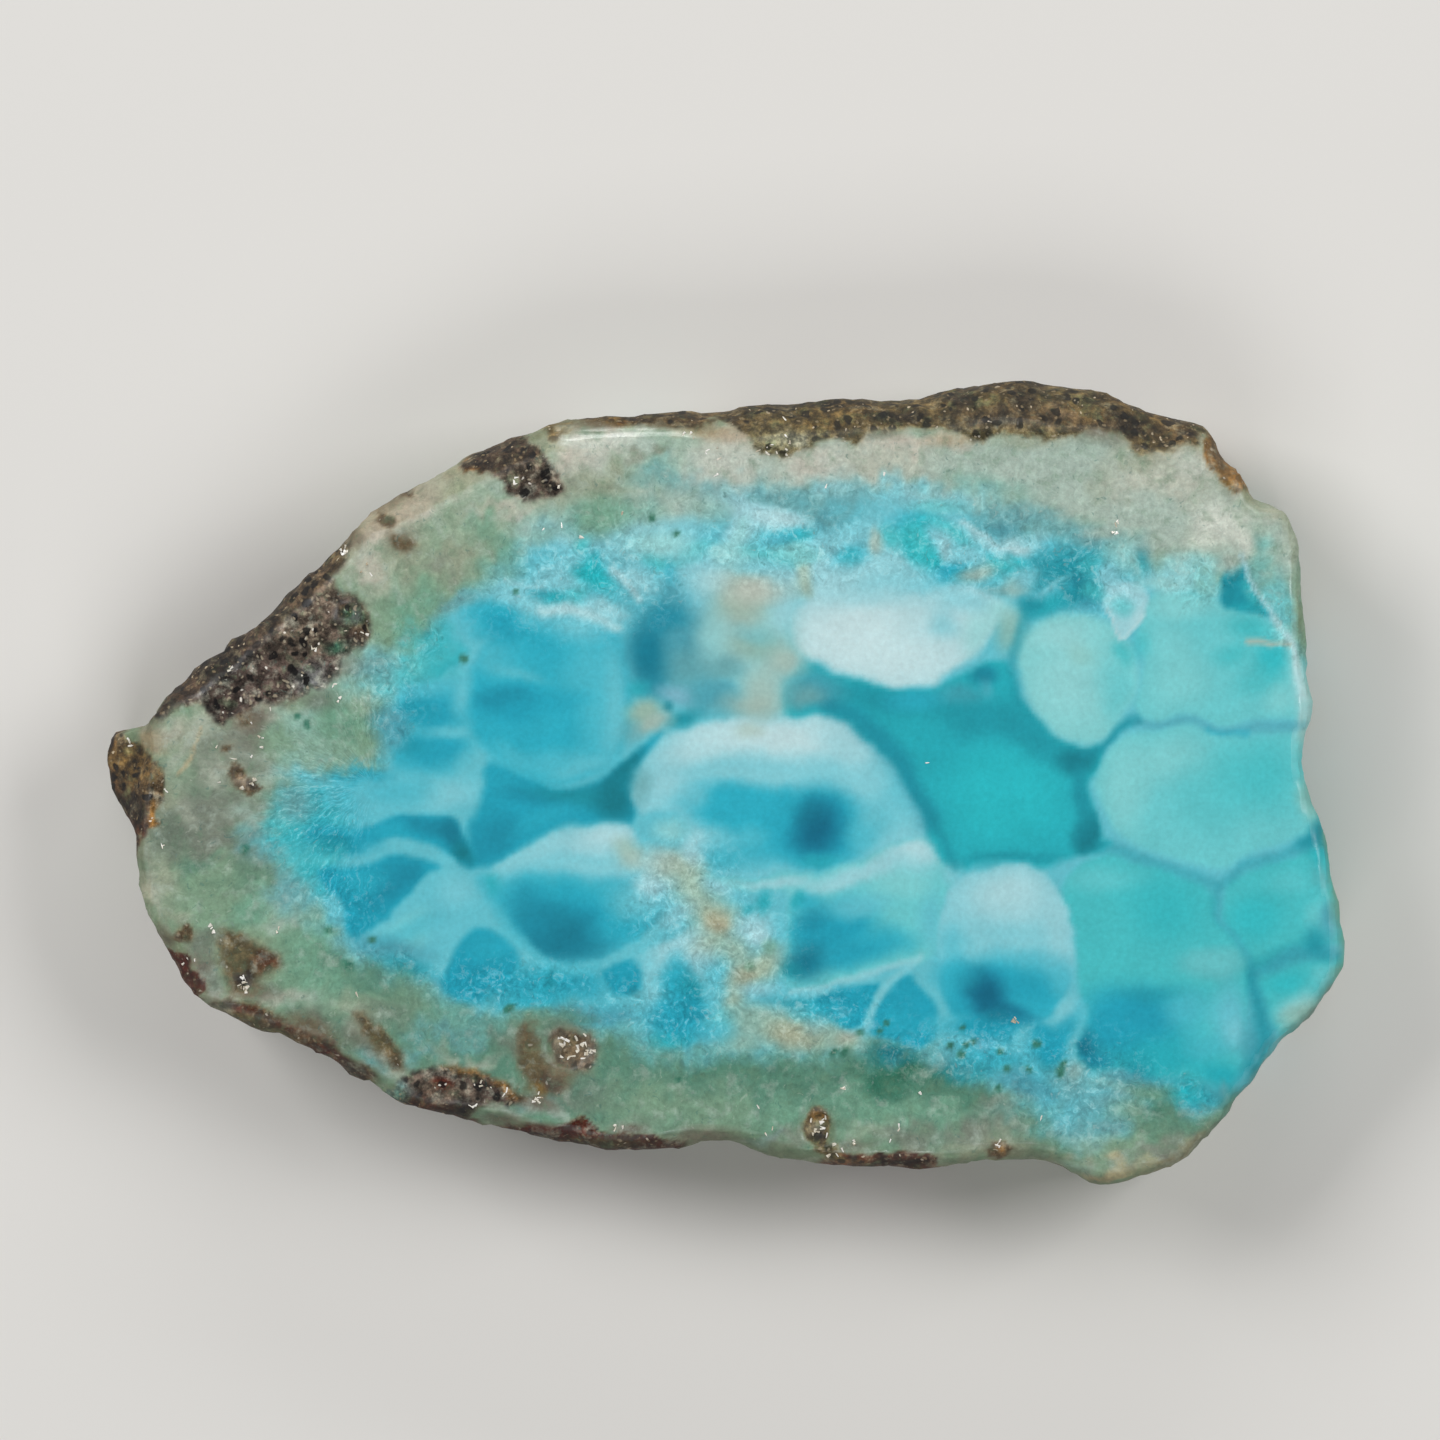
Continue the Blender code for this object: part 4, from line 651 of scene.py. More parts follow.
    ("drab", -24.7, -9.6, 0.5, 0.6, 0.8), ("granite", -27.2, -7.7, 0.6, 0.6, 0.8),
    ("granite", -22.4, -10.1, 0.9, 0.5, 0.7, -10), ("granite", -20, -11.5, 1, 0.5, 0.8, -10),
    ("granite", -17.9, -12.3, 0.9, 0.6, 0.6, -30), ("granite", -23.3, 2.4, 0.7, 0.9, 0.7),
    ("granite", -28.2, 2.9, 0.6, 0.4, 0.6), ("ash", -17.9, 5.7, 0.8, 0.5, 0.8),
    ("drab", -19.7, 4.1, 1, 0.5, 0.8, 10), ("granite", -7.7, -13.7, 1.1, 0.6, 0.7),
    ("granite", -8.9, -15.6, 1, 0.4, 0.7, -10), ("granite", -10.4, -16.5, 1, 0.3, 0.8, -10),
    ("drab", -7.6, -12, 1, 0.5, 0.7), ("dusk", -16.2, -8, 1.8, 0.5, 0.9, -8),
    ("sky", -15.2, -7.2, 1.4, 0.4, 0.7, 20), ("blue", -2.4, -11, 0.9, 0.7, 0.7),
    ("dusk", -6.6, -11.2, 1.1, 0.4, 0.9), ("dusk", 19.8, -14.4, 1.2, 0.4, 0.8, -10),
    ("jade", 20.8, -14.9, 1, 0.4, 0.6, -10), ("dusk", -16.1, 2.5, 0.7, 0.9, 0.6),
    ("slate", -16.8, 5.6, 0.9, 0.6, 0.7), ("ash", -22.6, 0.7, 0.7, 0.6, 0.6),
    ("pale", 14.7, 10.1, 0.5, 0.5, 0.8), ("foam", -0.5, 7.2, 0.8, 1, 0.7), ("pale", 1.8, 11.8, 1, 0.4, 0.6),
    ("ash", 18.6, 16.6, 1.6, 0.4, 0.8, -5), ("lichen", 14.8, 16.4, 1.2, 0.3, 0.7),
    ("pale", -7.3, 7.6, 1.6, 0.5, 0.7, -5), ("pale", -8, 9.6, 0.9, 0.4, 0.8),
    ("azure", 11.1, -9, 0.8, 0.8, 0.8), ("slate", -4.1, -0.1, 0.4, 0.8, 0.6),
    ("haze", 6.4, -6.1, 1.3, 0.5, 0.8, 5), ("aqua", 17.7, 10.4, 0.6, 0.5, 0.7),
    ("slate", -20.7, -1, 0.8, 0.6, 0.8), ("node", 8.2, -13.2, 1.2, 0.4, 0.8),
    # The bone streak on the upper left shoulder is a painted highlight
    ("bone", -6.3, 16.6, 1.8, 0.35, 0.9, 4), ("tan", -1, 16.9, 1.3, 0.3, 0.7),
    ("umber", -8.1, -14.2, 0.6, 0.6, 0.8), ("umber", -20.2, -11.8, 1.1, 0.4, 0.7, -12),
    ("granite", -16.7, -13.1, 0.9, 0.4, 0.6, -35), ("bone", 23.4, 11.8, 0.9, 0.6, 0.8),
    ("dusk", 25.3, -12.6, 0.5, 0.9, 0.7), ("celadon", 28.4, 3.5, 0.4, 1.4, 0.8),
    ("dusk", -5.4, -11.4, 0.9, 0.3, 0.8), ("jade", -7.2, -11.3, 0.9, 0.3, 0.6),
    ("dusk", 14.8, -14.9, 0.8, 0.4, 0.8), ("slate", -21.1, -5.5, 0.8, 0.9, 0.7, 20),
    ("granite", 18.2, 17.1, 1, 0.3, 0.8, -5), ("tan", 11, 16.7, 1.2, 0.25, 0.6, 5),
    ("granite", -18.4, 11.8, 0.6, 0.5), ("umber", -23.1, -9.9, 0.7, 0.4, 0.9),
    ("ash", -1.1, -17.3, 1.6, 0.4), ("fog", 27.3, 11.4, 0.5, 1.1, 1, 5),
    ("granite", -9.2, -15.5, 0.6, 0.3, 1, -10), ("ice", 28.3, 3.4, 0.4, 1, 0.7),
    ("granite", -23.2, 2.9, 0.7, 0.5, 0.9), ("tan", -12.7, 15.5, 0.8, 0.4, 1, 35),
    ("pale", -10.2, 9, 1.3, 0.4, 0.9, -5), ("olive", -9.2, 17, 0.9, 0.3, 1, 8),
    ("fog", 24.3, 10.9, 0.6, 0.6), ("pale", -7.9, 9.7, 0.9, 0.35, 0.9), ("ash", 7.6, 16.9, 0.8, 0.3),
    ("drab", -24.9, -7.4, 0.6, 0.4, 0.9), ("granite", -4.6, -16.7, 0.7, 0.3),
    ("cream", -12.8, 14.4, 0.8, 0.4, 0.7, 30), ("slate", 3.9, 4.3, 0.8, 0.5, 0.9),
    ("petrol", 28.7, -7.6, 0.6, 0.6, 0.8), ("dusk", 29.4, -6.6, 0.4, 0.7, 0.8),
    ("pale", 11.1, -4.3, 0.5, 0.5, 0.8), ("ash", -23.9, 1.9, 0.8, 0.6, 0.8), ("mint", 3.6, 11.3, 0.9, 0.4),
    ("celadon", 17, -18.6, 0.8, 0.4, 0.9), ("fog", 18.3, 12.2, 0.9, 0.4, 0.8),
    ("bone", 23.5, 12.8, 0.8, 0.5), ("aqua", 17.9, 9.3, 0.5, 0.5, 0.8), ("pale", 18.6, 10.1, 0.5, 0.4),
    ("azure", 9.1, 4, 1.2, 0.5, 0.7), ("foam", 21.3, 9.6, 1, 0.4), ("ink", 13, -11.4, 0.7, 0.4, 0.8),
    ("pearl", 1.4, 9.2, 1.2, 0.6, 0.8), ("umber", -15.9, 13.7, 0.8, 0.3, 0.8, 35),
    ("drab", 8.5, -17.2, 1.2, 0.4, 0.7), ("granite", 6.3, -17.6, 0.8, 0.3, 0.6),
    ("blue", 16.3, -11.9, 0.4, 0.7, 0.8, -30), ("pale", 11.9, 11, 0.7, 0.4, 0.8, -10),
    ("reed", -26.7, 0.5, 0.7, 0.8, 0.7), ("granite", -22.8, 3.2, 0.7, 0.5, 0.7),
)

# Lines in mm: tint, half width, points, amount, half width at the end
VEINS = (
    ("ink", 0.95, (5, 3.55, 6.4, 2.95, 7.6, 2, 8.6, 0.8, 9.4, -0.6, 9.9, -1.8), 0.55),
    ("petrol", 0.4, (9.5, -0.6, 10.1, -1.9, 10.8, -3, 11.3, -3.9), 0.6),
    ("petrol", 0.55, (14.8, 7.9, 14.35, 7, 14, 6, 14, 5, 14.3, 4), 0.5),
    ("petrol", 0.45, (17.4, 1.6, 18.5, 2, 19.3, 2.8, 20, 3.2), 0.8),
    ("dusk", 0.4, (20, 3.1, 21.5, 2.98, 23, 2.85, 24.2, 2.6, 25.2, 2.65, 26.5, 2.75, 28.2, 2.8), 0.45),
    ("azure", 0.3, (23.4, 2.6, 24.2, 2.5, 25.1, 2.5), 0.5),
    ("petrol", 0.5, (18.6, -3.1, 19.8, -3.45, 21, -3.9, 22.3, -4.25, 23.5, -4.65, 24, -4.65, 25, -4.1,
        26.3, -3.8, 27.3, -3.3, 28.2, -2.7, 29, -2.2), 0.42),
    ("petrol", 0.8, (28, -2.9, 28.8, -2.6, 29.2, -3.1), 0.7),
    ("petrol", 0.45, (23.8, -5, 24.05, -6.4, 24.5, -7.4, 25.1, -8.4, 25.5, -9.2), 0.35),
    ("petrol", 0.8, (25.6, -9.1, 26.6, -8.7, 27.8, -8.3, 28.6, -8.15, 29.4, -8.3), 0.6),
    ("petrol", 0.6, (25.5, -9.6, 25.9, -11, 26, -12.4, 25.7, -13.6), 0.8, 1.1),
    ("ice", 0.2, (3, -9.98, 4.5, -9.9, 5.5, -9.6, 6.5, -9.3, 7.5, -9.2, 8.5, -8.85, 9.3, -8.5), 0.65, 0.35),
    ("blue", 0.7, (13.6, -12.1, 12.5, -11.9, 11.6, -11.6), 0.8),
    ("blue", 0.6, (15.2, -11.8, 15.6, -12.4, 15.6, -13), 0.9),
    ("pale", 0.34, (9, -8.8, 8.4, -9.6, 7.8, -10.2, 7.2, -11, 6.9, -11.9), 0.7),
    ("sky", 0.5, (-11.8, -4.5, -11.2, -5.8, -10.4, -7.1, -9.4, -8.2, -8.2, -8.95, -7, -9.1, -5.8, -8.8),
        0.8),
    ("haze", 0.45, (-5.8, -8.75, -4.6, -8.2, -3.6, -7.7, -2.6, -7.4), 0.85),
    ("milk", 0.22, (24.8, 11, 25.4, 10.1, 26.05, 9.05, 26.6, 8.1, 27.1, 7.2), 0.75, 0.28),
    ("foam", 0.7, (27, 7.2, 27.4, 6.3, 27.75, 5.3, 28, 4), 0.7),
    ("milk", 0.3, (27.1, 7.2, 27.5, 6.3, 27.85, 5.3, 28.1, 4.3), 0.8, 0.6),
    ("fog", 0.25, (25.4, 6.65, 26, 6.7, 26.7, 6.75, 27.2, 6.7), 0.9),
    ("milk", 0.16, (18.3, 8.3, 18.7, 7.5, 19.05, 7.02, 19.6, 7.5, 20.2, 8.3), 0.8),
    ("milk", 0.2, (11.4, 12.6, 12.6, 11.9, 13.6, 11.5, 14.7, 11.5), 0.7),
    ("milk", 0.28, (-4.2, 9, -4.9, 9.6, -5.5, 10.4), 0.7),
    ("pale", 0.7, (-8.9, 10.2, -7.8, 10.3, -7, 10.8), 0.8),
    ("foam", 0.8, (-0.2, 11.2, 0.7, 11.8, 0.9, 12.6), 0.8),
    ("milk", 0.5, (-8.8, 8.15, -7.6, 8.3, -6.4, 8, -5.2, 7.6), 0.75),
    ("ice", 0.2, (-10.8, 9.9, -9.8, 9.8, -8.6, 9.6), 0.5),
    ("slate", 0.3, (1.2, 14, 2.3, 13.75, 3.3, 13.3, 4.3, 13.1, 5.2, 12.5), 0.7),
    ("slate", 0.3, (5.3, 12.7, 5.9, 13.3, 6.2, 14.2, 6.4, 14.8), 0.5),
    ("straw", 0.14, (-25.6, 2.6, -25.8, 1.7, -26.1, 1, -26.6, 0.4), 0.8),
    ("chalk", 0.3, (-25.6, 3, -26.2, 1.6, -27, 0.6), 0.5),
    ("granite", 1, (-1.5, -17.6, 0, -17.6, 2, -18.1, 4, -18.6, 6, -18.9, 8, -19.1, 10.3, -19, 11.3, -18.8,
        12.7, -18.9, 15, -18.7, 17, -19.3, 18.5, -19.8, 20.5, -19.4, 22, -18.6, 23.4, -17.5), 0.45),
    ("drab", 0.9, (23.4, -17.5, 25.2, -15.8, 26.7, -13.7, 27.8, -12.4, 28.8, -11.4, 30.2, -9.4), 0.8),
    ("moss", 0.9, (30.2, -9.4, 30.4, -8.2, 29.9, -6, 29.6, -4, 29.2, -2, 28.8, -0.5), 0.8, 0.5),
)

# Pinholes and single dark grains: place and radius. The dark dot of a pinhole is painted shade in the tiny
# hole
PINHOLES = (
    (-10.4, -10.9, 0.22), (5.6, -13, 0.22), (7.5, -12.1, 0.18), (7.9, -11.7, 0.16), (5.1, -12.9, 0.17),
    (11.4, -13.2, 0.2), (11.4, -11.7, 0.16), (11.7, -12.7, 0.17), (12.1, -12.5, 0.17), (13.4, -12.9, 0.16),
    (13.7, -13.9, 0.2), (14.6, -13.9, 0.2), (16.3, -13.4, 0.19), (16.2, -13.8, 0.25), (15, -12.4, 0.17),
    (-16.9, -7.6, 0.18), (-19.3, -7.2, 0.2), (-12.8, 6.1, 0.27), (-3.7, 12.9, 0.18), (-2.4, -14.25, 0.18),
    (-2.4, 12.1, 0.17), (-10, 9.4, 0.18), (-23.2, -3.3, 0.18), (-20.9, 3.1, 0.18), (-20.4, 2.75, 0.2),
    (13.2, -14.8, 0.16), (-18.2, -8.8, 0.18), (10.9, -12.8, 0.15), (6.5, -12.2, 0.17),
)

# Host rock, clay and stains: ground tint, soft edge, share of grain, outline, spots inside
ROCK = (
    ("basalt", 0.5, 1, (
        -27.7, 2.9, -26.7, 3.7, -25.2, 3.7, -24.4, 2.9, -23.6, 3.3, -22.2, 3.8, -21.2, 3.9, -20.3, 4.3,
        -19.2, 4.8, -18.5, 5.9, -17.8, 6.5, -17.2, 7.2, -17.4, 8.4, -17.9, 9, -18.7, 9.3, -19, 10, -18.3,
        11, -18.1, 12, -17.3, 13.6, -21, 12.5, -26, 8, -29.5, 4.4,
    ), (
        ("granite", -20.6, 8, 2, 1.2, 0.6, 40), ("granite", -24.8, 4.9, 1.2, 0.5, 0.3, 40),
        ("soot", -24.4, 4.7, 0.8, 0.4, 0.7, 20), ("olive", -18.6, 10.6, 0.7, 0.9, 0.7),
        ("lilac", -20, 5, 0.9, 0.7, 0.3), ("granite", -19.6, 9.8, 1.4, 1.2, 0.8),
        ("soot", -22.3, 8.2, 1.4, 0.6, 0.6, 40), ("soot", -24.2, 5.5, 0.9, 0.8, 0.9, 0, 0.7),
        ("granite", -20.2, 7, 1.6, 0.9, 0.8), ("umber", -27, 4.6, 1.2, 0.6, 0.8, 30),
        ("umber", -17.6, 7.8, 0.5, 1, 0.7), ("pine", -18, 8.1, 0.45, 0.35, 0.8),
        ("pine", -18.7, 6.5, 0.5, 0.3, 0.8),
    )),
    ("umber", 0.25, 1, (
        -31.5, 3.2, -29.4, 2.6, -28.6, 1.9, -27.8, 1.3, -27.2, 0.3, -27.2, -0.8, -27.6, -1.4, -27.4, -1.9,
        -28, -2.3, -28.3, -2.8, -28.7, -3.8, -31, -4.2, -32, 0,
    ), (
        ("ochre", -29.7, 1.9, 0.5, 0.6, 0.7, 10), ("rust", -29.7, -0.4, 0.6, 0.7, 0.7),
        ("khaki", -28.6, 0.8, 1, 1, 0.8), ("soot", -28.8, -1.6, 1, 0.8, 0.9),
        ("rust", -28.6, -2.6, 0.8, 0.6, 0.9), ("ochre", -27.6, -1.6, 0.35, 0.8, 0.8),
        ("bone", -28.9, 2, 0.3, 0.2, 0.6),
    )),
    ("basalt", 0.3, 1, (
        -12.4, 15.7, -11.4, 16.4, -10.4, 16.9, -9.5, 16.7, -9.1, 16.1, -8.7, 15.9, -8.2, 15, -7.7, 14.3,
        -8.5, 13.9, -9.8, 13.8, -10.6, 14.3, -10.9, 14.8, -11.6, 15, -12.3, 15, -12.6, 15.4,
    ), (
        ("granite", -9.7, 15.2, 1.3, 0.9), ("soot", -11.6, 15.5, 0.8, 0.4, 0.6),
        ("granite", -8.6, 14.6, 0.7, 0.5, 0.8), ("ochre", -12.2, 15, 0.5, 0.2, 0.7),
    )),
    ("khaki", 0.25, 0.7, (
        -12.8, 15.9, -11.4, 16.5, -10, 17, -8.6, 17.1, -8.4, 16.5, -7.7, 17, -6.6, 17.8, -6.6, 19, -10, 19,
        -14, 17,
    ), (
        ("umber", -9.2, 17.2, 1.2, 0.4, 0.8, 10),
    )),
    ("olive", 0.3, 0.9, (
        -6.6, 17.8, -5.5, 17.3, -4.2, 17.25, -2.8, 17.25, -2, 17.1, -0.6, 17.25, 0.4, 17.4, 1, 16.9, 1.3,
        16.3, 2.5, 15.9, 3.5, 16.1, 5, 16.6, 6.3, 16.4, 7, 17, 8.5, 17.1, 9.5, 17.2, 11, 17, 12.3, 16.6,
        13.4, 16.9, 15, 16.8, 15.8, 16.7, 17.5, 17.1, 19, 17, 19.8, 16.2, 20.4, 15.9, 21.2, 16.1, 22.2,
        16.4, 22.8, 16.2, 23.3, 16.9, 24.4, 17.2, 23, 19.5, 18, 21.5, 10, 21.5, 0, 20, -6.5, 19.5,
    ), (
        ("bark", 2.8, 18.6, 6, 0.55, 1, 3), ("bark", 12.4, 19.5, 6, 0.55, 1, 4),
        ("bark", 20.8, 18.2, 2.6, 0.6, 1, -20), ("khaki", 6, 18, 1.6, 0.3, 0.6, 4),
        ("khaki", 13.6, 19, 0.6, 0.4, 0.6), ("khaki", 10.4, 18.4, 0.8, 0.3, 0.6),
        ("khaki", 17, 17.6, 1.6, 0.5, 0.9, -6), ("khaki", 4.6, 17.3, 0.9, 0.4, 0.9),
        ("khaki", 6.6, 18.1, 0.8, 0.3, 0.9), ("bark", -4.5, 17.7, 1.9, 0.4, 0.9, 2),
        ("basalt", 13.6, 17.7, 2.4, 0.5, 0.5), ("soot", 11.6, 18.4, 0.7, 0.4, 0.7),
        ("granite", 16.5, 17.8, 0.9, 0.4, 0.8, -10), ("soot", 14.6, 18.5, 0.6, 0.4, 0.7),
        ("soot", 8.5, 17.7, 1.4, 0.3, 0.6), ("soot", 19.6, 17.3, 1.2, 0.5, 0.7, -20),
        ("umber", 22, 16.9, 1, 0.5, 0.7), ("soot", 22.5, 16.9, 0.3, 0.2),
        ("cream", 2.7, 16.7, 1.4, 0.4, 0.7), ("umber", -1, 17.4, 2, 0.3, 0.7),
        ("ochre", -5.2, 17.2, 0.9, 0.25, 0.8), ("khaki", 20.6, 17.9, 1.6, 0.4, 0.8, -25),
        ("granite", 18.3, 17, 1.2, 0.4, 0.8, -8),
    )),
    ("ochre", 0.2, 0.5, (
        23.5, 16.8, 23.3, 15.9, 23.7, 15.2, 24.2, 14.5, 24.6, 13.9, 25.2, 14.2, 25.8, 13.7, 26.4, 14.5,
        25.6, 15.6, 24.6, 17,
    ), (
        ("tan", 25.1, 14.2, 0.7, 0.3, 0.8, -10), ("umber", 24, 15.8, 0.4, 0.8, 0.8, 20),
    )),
    ("clay", 0.2, 0.5, (
        -27.8, -7.9, -26.9, -8.2, -26.1, -8.4, -25.7, -9.2, -25.2, -9.8, -25.5, -10.4, -26, -11.2, -27.2,
        -10.4, -28.2, -9,
    ), (
        ("rust", -25.9, -9.3, 0.6, 1, 0.9, 30), ("clay", -26.1, -9, 0.6, 0.5, 0.8, 30),
    )),
    ("umber", 0.7, 0.45, (
        -24.6, -7.4, -23.6, -7.2, -22.8, -7.7, -21.8, -8.2, -21.6, -8.8, -22.3, -9.3, -23, -9.9, -23.8,
        -9.8, -24.3, -9, -24.3, -8.2,
    ), (
        ("olive", -23.5, -8.4, 1.1, 0.8, 0.7, -30), ("rust", -22.2, -8.6, 0.6, 0.5, 0.7),
        ("soot", -23.2, -9.6, 0.45, 0.4, 0.9, 0, 0.7),
    )),
    ("umber", 0.2, 0.7, (
        -26.6, -7.1, -26, -6.9, -25.7, -7.3, -26, -7.7, -26.6, -7.6,
    )),
    ("umber", 0.5, 0.5, (
        -24.6, -10.8, -23.6, -10.5, -22.7, -10.7, -22, -11.1, -21.2, -11.5, -20.2, -12.1, -19, -12.5, -18.1,
        -13.5, -17.2, -13.9, -16.9, -14.6, -16.6, -16.5, -20, -15.5, -25, -13,
    ), (
        ("clay", -23.6, -10.9, 1.1, 0.25, 0.8, -10), ("olive", -23.4, -11.4, 0.8, 0.3, 0.9, -15),
        ("clay", -21.2, -11.6, 0.8, 0.35, 0.6, -20), ("clay", -19.6, -12, 0.6, 0.35, 0.7),
        ("olive", -21.3, -12.3, 0.9, 0.35, 0.9, -30), ("clay", -19, -13.2, 1, 0.4, 0.8, -20),
        ("soot", -17.8, -14, 0.7, 0.3, 0.7, -30), ("ash", -24.4, -10.9, 0.5, 0.4, 1, -10),
    )),
    ("basalt", 0.45, 0.9, (
        -15.6, -14.2, -14.8, -13.9, -13.6, -13.7, -12.4, -13.8, -11.4, -14.2, -10.4, -14.7, -9.7, -15.1,
        -10.4, -15.6, -11.6, -15.5, -12.3, -16.3, -12.4, -18, -17, -17.5,
    ), (
        ("granite", -13.6, -14.9, 1.6, 0.7, 0.9, -10), ("ochre", -12.2, -13.9, 1.6, 0.25, 0.8, -10),
        ("ochre", -10.5, -14.8, 0.7, 0.25, 0.8, -25), ("soot", -12.6, -15.8, 0.9, 0.4, 0.8, -10),
        ("clay", -13.7, -14.5, 0.4, 0.3, 0.8), ("rust", -14.3, -15.7, 1.2, 0.5, 0.8, -20),
        ("slate", -15.9, -15.1, 0.6, 0.6), ("soot", -11.2, -15, 0.6, 0.3, 0.6, -20),
    )),
    ("clay", 0.18, 0.6, (
        -12.4, -16.6, -11.2, -16.9, -10.3, -16.8, -9.6, -16.5, -9, -16.9, -8, -16.7, -7.2, -16.1, -6.7,
        -16.1, -6, -16.9, -5, -17.1, -3.8, -17.1, -2.6, -17.5, -1.8, -17.6, -1.2, -19, -6, -20, -13, -19,
    ), (
        ("rust", -6.5, -16.7, 0.7, 0.3, 0.8), ("bark", -5.8, -17.6, 2.4, 0.4),
        ("soot", -9.6, -17.3, 1.6, 0.3, 0.7),
    )),
    ("rust", 0.2, 0.7, (
        5.4, -18.1, 6.4, -17.9, 8, -18, 9.4, -17.9, 10.3, -18.4, 10.8, -20, 5.2, -20,
    ), (
        ("soot", 8.4, -18.5, 1.6, 0.3, 0.8), ("umber", 6.6, -18.3, 0.8, 0.2, 0.7),
    )),
    ("olive", 0.25, 0.8, (
        3.9, -16.3, 4.3, -15.8, 4.9, -15.9, 5.2, -16.6, 5.1, -17.3, 5.6, -17.9, 5.9, -18.4, 4.9, -18.1, 4.2,
        -17.5,
    ), (
        ("ochre", 4.5, -16.2, 0.4, 0.3, 0.7), ("soot", 4.7, -17, 0.3, 0.4, 0.7),
        ("bone", 4.3, -16.7, 0.2, 0.3, 0.7, 20, 0.7),
    )),
    ("granite", 0.4, 0.6, (
        -8.4, -12, -7.6, -12, -6.8, -12.2, -6.3, -12.8, -6.4, -13.6, -7, -14, -7.8, -13.8, -8.2, -13.2,
    ), (
        ("tan", -7.3, -12.9, 0.5, 0.5, 0.7), ("umber", -7, -12.5, 0.4, 0.3, 0.7),
        ("bone", -7.9, -12.6, 0.25, 0.3, 0.7, 0, 0.7),
    )),
    ("umber", 0.7, 0.25, (
        -9.7, -11.6, -9.2, -12, -9, -13, -8.5, -13.6, -8, -14.5, -8.6, -15.1, -9.4, -14.8, -9.9, -13.6,
        -9.9, -12.4,
    ), (
        ("olive", -9.3, -13.2, 0.3, 0.8, 0.6), ("basalt", -8.4, -14.6, 0.5, 0.6, 0.7),
        ("ochre", -9.1, -14.9, 0.4, 0.3, 0.8),
    )),
    ("umber", 0.4, 0.5, (
        -17.7, -11.1, -16.7, -11.8, -16, -12.6, -15.6, -13.4, -15.9, -13.9, -16.5, -13.2, -17, -12.6, -17.6,
        -11.9,
    ), (
        ("olive", -16.7, -12.4, 0.4, 0.9, 0.7, 40),
    )),
    ("umber", 0.25, 0.5, (
        12.8, -17.4, 13.4, -17.3, 13.9, -17.7, 13.6, -18.2, 12.9, -18.1,
    ), (
        ("ochre", 13.4, -17.7, 0.3, 0.25, 0.8),
    )),
    ("umber", 0.2, 0.6, (
        -24, 0.8, -23.5, 0.7, -22.9, 0.3, -22.4, -0.2, -23, -0.5, -23.7, -0.3,
    ), (
        ("shell", -23.3, 0.1, 0.4, 0.3, 0.7), ("soot", -22.8, -0.1, 0.25, 0.2, 0.8),
    )),
    ("umber", 0.18, 0.4, (
        -23.4, 3.3, -23, 3.3, -22.9, 3, -23.3, 2.9,
    )),
    ("umber", 0.18, 0.4, (
        -24.3, 1.9, -24, 1.9, -24, 1.6, -24.3, 1.6,
    )),
    ("umber", 0.22, 0.4, (
        -18.6, 11.4, -17.4, 12.55, -16.6, 13.2, -15.9, 13.6, -15.1, 13.9, -14.7, 14.5, -13.8, 15.1, -12.9,
        15.7, -13.2, 16.8, -16, 15.2, -18.6, 13,
    ), (
        ("bark", -15.4, 14.15, 0.8, 0.3, 1, 35), ("rust", -17.6, 12.6, 0.7, 0.2, 1, 40),
    )),
    ("umber", 0.3, 0.3, (
        -16.6, 13, -16.2, 13.05, -16, 12.7, -16.3, 12.4, -16.7, 12.6,
    )),
    ("umber", 0.4, 0.2, (
        -16.2, 12, -15.6, 12, -15.1, 11.5, -15.7, 11.3, -16.1, 11.6,
    )),
)

# Pushes that bring the rim to its real line, in mm: place, reach, push across and up
RIM_NUDGES = (
    (19.5, 18.6, 4, 0.12, 0.42), (13, 19.3, 3.5, 0, 0.25), (7.2, 18.5, 3, 0, 0.25),
    (-15, -15.8, 2.6, -0.12, -0.45), (-23, -11.4, 3.2, -0.1, -0.25), (-9, -16.9, 2.2, 0, -0.2),
    (-28.5, -4.5, 3, 0.15, 0),
)

